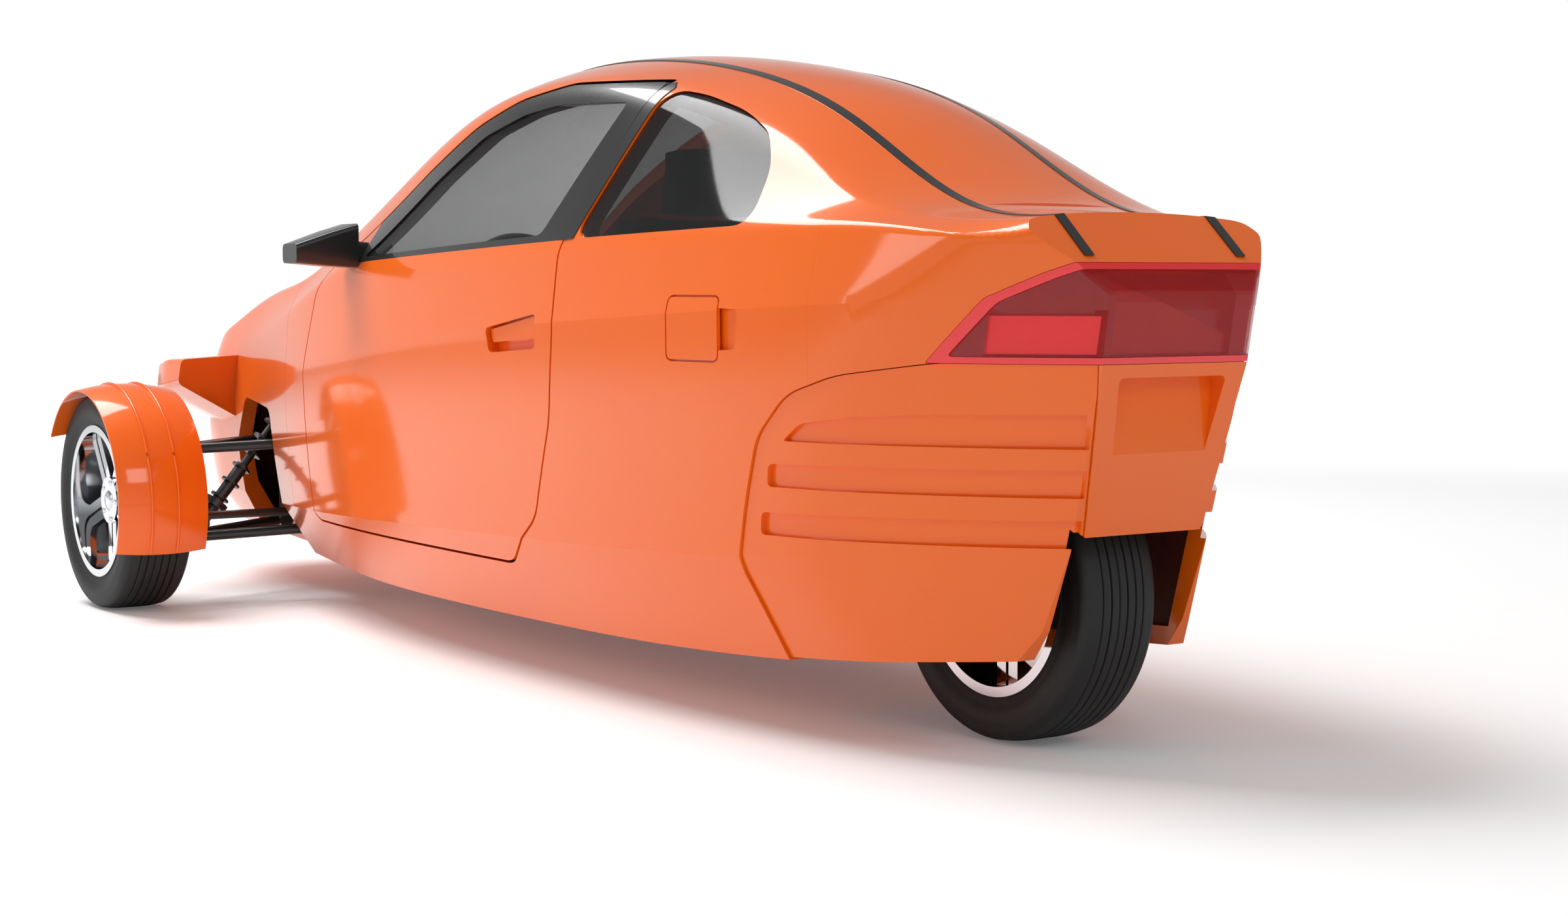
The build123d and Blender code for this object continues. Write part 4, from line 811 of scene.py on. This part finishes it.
def fittings():
    # Five domed nuts on a circle and a low cap in the middle of each wheel's outer face
    g = wheelFittings
    t = np.linspace(0, 1, 9)
    nut = np.stack([g["nutRadius"] * np.cos(t * np.pi / 2) ** 0.6 + 0.0002, g["nutHeight"] * np.sin(t * np.pi / 2)], 1)
    cap = np.stack([g["capRadius"] * np.cos(t * np.pi / 2) ** 0.5 + 0.0002, g["capHeight"] * np.sin(t * np.pi / 2)], 1)
    for name, x, y, way in (("left", car["frontX"], car["trackHalf"], 1), ("right", car["frontX"], -car["trackHalf"], -1),
                            ("rear", car["rearX"], 0, 1)):
        face = faceOf(f"rim_{name}", way)
        grids = []
        for k in range(5):
            a = 2 * np.pi * (k + 0.5) / 5
            spot = (x + g["nutCircle"] * np.cos(a), face, car["wheelRadius"] + g["nutCircle"] * np.sin(a))
            grids.append(dome(spot, (0, way, 0), nut))
        joined(f"wheel_nuts_{name}", grids, f"wheel_{name}", "bright_rim")
        joined(f"hub_cap_{name}", [dome((x, face, car["wheelRadius"]), (0, way, 0), cap)], f"wheel_{name}", "bright_rim")


def faceOf(node, way):
    # How far out the middle of a wheel reaches: the farthest vertex within 60 mm of the axle
    points = worldPoints(nodes[node])
    centre = (points[:, 0].min() + points[:, 0].max()) / 2
    near = np.hypot(points[:, 0] - centre, points[:, 2] - car["wheelRadius"]) < 0.060
    return float((points[near, 1] * way).max() * way) if near.any() else float((points[:, 1] * way).max() * way)


def worldPoints(thing):
    # All vertices of a node as one array; its object sits at the origin
    found = np.empty(len(thing.data.vertices) * 3, dtype=np.float32)
    thing.data.vertices.foreach_get("co", found)
    return found.reshape(-1, 3).astype(float)


fittings()
print("wheels: nuts and caps")

smallThings = dict(
    podRows=((1.100, 300, 657, 503, 646, 514, 578, 300, 456), (1.150, 290, 655, 500, 642, 510, 560, 290, 440),
             (1.190, 270, 646, 476, 630, 484, 552, 270, 438)),  # share; y, z in mm of inner and outer top, outer and inner foot
    mirrorRows=((0.495, 0.697, 0.6895, 0.112, 0.106), (0.560, 0.6958, 0.6840, 0.103, 0.084),
                (0.652, 0.694, 0.6755, 0.084, 0.046)),  # metres out; share; height share; length and rise in metres
    stemRows=((0.430, 0.693, 0.676, 0.060, 0.048), (0.502, 0.694, 0.681, 0.060, 0.048)),
    beadRadius=0.3095, beadSize=0.0034, beadOffsets=(-0.035, 0.035), fenderFrom=33, fenderTo=203,
)


def podRing(row, side, shrink=0.0):
    # One section of a headlamp pod across the car, its corners rounded
    corners = np.array(row[1:]).reshape(-1, 2) / 1000 * np.array([side, 1])
    flat = rounded(grown(corners, -shrink) if shrink else corners, 0.016, 9)
    return np.stack([np.full(len(flat), along(row[0])), flat[:, 0], flat[:, 1]], axis=1)


def betweenRows(rows, x):
    # Rows of a table blended straight between its stations
    table = np.array(rows, dtype=float)
    return np.stack([np.interp(x, table[:, 0], table[:, k]) for k in range(table.shape[1])], axis=1)


def mirrorForm(rows, side, radius):
    # Rounded side sections joined across the car
    rings = []
    for distance, share, height, length, rise in rows:
        x, z = along(share), height * shape["height"]
        flat = rounded(np.array([(x - length / 2, z - rise / 2), (x + length / 2, z - rise / 2),
                                 (x + length / 2, z + rise / 2), (x - length / 2, z + rise / 2)]), radius, 9)
        rings.append(np.stack([flat[:, 0], np.full(len(flat), side * distance), flat[:, 1]], axis=1))
    return solid(np.stack(rings))


def smallPieces():
    # Pods and lamps, mirrors, two beads round each front fender, the door's lock
    g = smallThings
    table = betweenRows(g["podRows"], np.linspace(g["podRows"][0][0], g["podRows"][-1][0], 9))
    pods = [carve(solid(np.stack([podRing(row, side) for row in table])), bodyForm(0.002)) for side in (1, -1)]
    fitted("lamp_pods", carve(pods[0], pods[1], "UNION"), "body", "body_paint", "headlamp_pods", sharp=20)
    lenses = []
    for side in (1, -1):
        face = podRing(g["podRows"][-1], side, 0.010)
        rings = [face + np.array([shift, 0, 0]) for shift in (0.0002, 0.006)]
        lenses.append(carve(solid(np.stack(rings)), bodyForm(0.002)))
    fitted("lamp_lenses", carve(lenses[0], lenses[1], "UNION"), "body", "clear_lens", "headlamps", sharp=30)
    for name, side, body in (("left", 1, "door"), ("right", -1, "body")):
        made = carve(mirrorForm(g["mirrorRows"], side, 0.014), mirrorForm(g["stemRows"], side, 0.010), "UNION")
        fitted(f"mirror_shell_{name}", made, body, "black_trim", f"mirror_{name}", sharp=30)
    angles = np.radians(np.linspace(g["fenderFrom"] + 1, g["fenderTo"] - 1, 90))
    for name, side in (("left", 1), ("right", -1)):
        beads = []
        for offset in g["beadOffsets"]:
            path = np.stack([car["frontX"] + g["beadRadius"] * np.cos(angles), np.full(90, side * car["trackHalf"] + offset),
                             car["wheelRadius"] + g["beadRadius"] * np.sin(angles)], axis=1)
            beads.append(tube(path, g["beadSize"], 12))
        joined(f"fender_beads_{name}", beads, f"knuckle_{name}", "body_paint")
    centre = (along(0.3430), 0.5168, 0.5440 * shape["height"])
    t = np.linspace(0, 1, 8)
    lock = np.stack([0.0065 * np.cos(t * np.pi / 2) ** 0.3 + 0.0001, 0.004 * t], axis=1)
    joined("door_lock", [dome(centre, (0, 1, 0), lock)], "door", "damper_steel")


smallPieces()
print("small pieces: pods, mirrors, beads, lock")

upholstery = dict(
    voxel=0.0066, pressure=4.0, frames=20, shrink=0.965,
    pieces=(  # node, cap of a point's move, fill, channels along y, channels along the height or length
        ("front_cushion", 0.024, 0.75, (-0.145, 0.145), (0.30, 0.66)),
        ("front_backrest", 0.024, 0.75, (-0.145, 0.145), (0.35, 0.72)),
        ("rear_cushion", 0.024, 0.75, (-0.145, 0.145), (0.30, 0.66)),
        ("rear_backrest", 0.024, 0.75, (-0.145, 0.145), (0.35, 0.72)),
        ("headrests", 0.010, 0.8, (), ()),
    ),
)


def upholstered(node, cap, fill, lengthwise, crosswise):
    # A pad grown from the plain block: remeshed, blown up as cloth, its points held within a cap, then sewn channels
    g = upholstery
    work = bpy.data.objects.new(f"work_{node}", nodes[node].data.copy())
    bpy.context.scene.collection.objects.link(work)
    merged = bmesh.new()
    merged.from_mesh(work.data)
    bmesh.ops.remove_doubles(merged, verts=merged.verts, dist=1e-5)
    merged.to_mesh(work.data)
    merged.free()
    points = worldPoints(work)
    low, high = points.min(axis=0), points.max(axis=0)
    middle = (low + high) / 2 if node != "headrests" else None
    if middle is not None:
        work.data.vertices.foreach_set("co", (middle + (points - middle) * g["shrink"]).astype(np.float32).ravel())
    remesh = work.modifiers.new("grid", "REMESH")
    remesh.mode, remesh.voxel_size = "VOXEL", g["voxel"]
    start = settled(work)
    swollen = start
    work.modifiers.clear()
    work.data = start.copy()
    cloth = work.modifiers.new("swell", "CLOTH")
    cloth.settings.quality = 2
    cloth.settings.use_pressure = True
    cloth.settings.uniform_pressure_force = g["pressure"]
    cloth.settings.effector_weights.gravity = 0
    cloth.point_cache.frame_start, cloth.point_cache.frame_end = 1, g["frames"]
    for step in range(1, g["frames"] + 1):
        bpy.context.scene.frame_set(step)
    swollen = settled(work)
    bpy.context.scene.frame_set(1)
    first, last = pointsOf(start), pointsOf(swollen)
    move = last - first
    length = np.linalg.norm(move, axis=1, keepdims=True)
    final = first + move * np.minimum(1, cap / np.maximum(length, 1e-9))
    final = np.clip(final, low - 0.006, high + 0.006)
    # Sewn channels: a narrow dip against the normal where a line lies at a set width or share of the length
    normals = np.empty(len(start.vertices) * 3, dtype=np.float32)
    start.vertices.foreach_get("normal", normals)
    normals = normals.reshape(-1, 3)
    tall = (high - low)[2] > (high - low)[0]
    share = (final[:, 2] - low[2]) / (high - low)[2] if tall else (final[:, 0] - low[0]) / (high - low)[0]
    facing = np.clip((normals[:, 0] if tall else normals[:, 2]) * 2 - 0.6, 0, 1)
    dip = np.zeros(len(final))
    for line in lengthwise:
        dip += np.exp(-((final[:, 1] - line) / 0.007) ** 2)
    for line in crosswise:
        inner = np.abs(final[:, 1]) < 0.145
        dip += inner * np.exp(-((share - line) * (high - low)[2 if tall else 0] / 0.007) ** 2)
    final = final - normals * (0.008 * np.minimum(dip, 1) * facing)[:, None]
    mesh = start.copy()
    mesh.vertices.foreach_set("co", final.astype(np.float32).ravel())
    mesh.update()
    bpy.data.objects.remove(work)
    mesh.materials.clear()
    mesh.materials.append(finishes["seat_fabric"])
    mesh.polygons.foreach_set("use_smooth", np.full(len(mesh.polygons), True))
    piece = bpy.data.objects.new(f"padded_{node}", mesh)
    bpy.context.scene.collection.objects.link(piece)
    fine = piece.modifiers.new("fine", "SUBSURF")
    fine.levels = fine.render_levels = 1
    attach(piece, "body")
    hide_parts(node)
    return piece


for row in upholstery["pieces"]:
    upholstered(*row)
print("seats:", len(upholstery["pieces"]), "padded pieces")
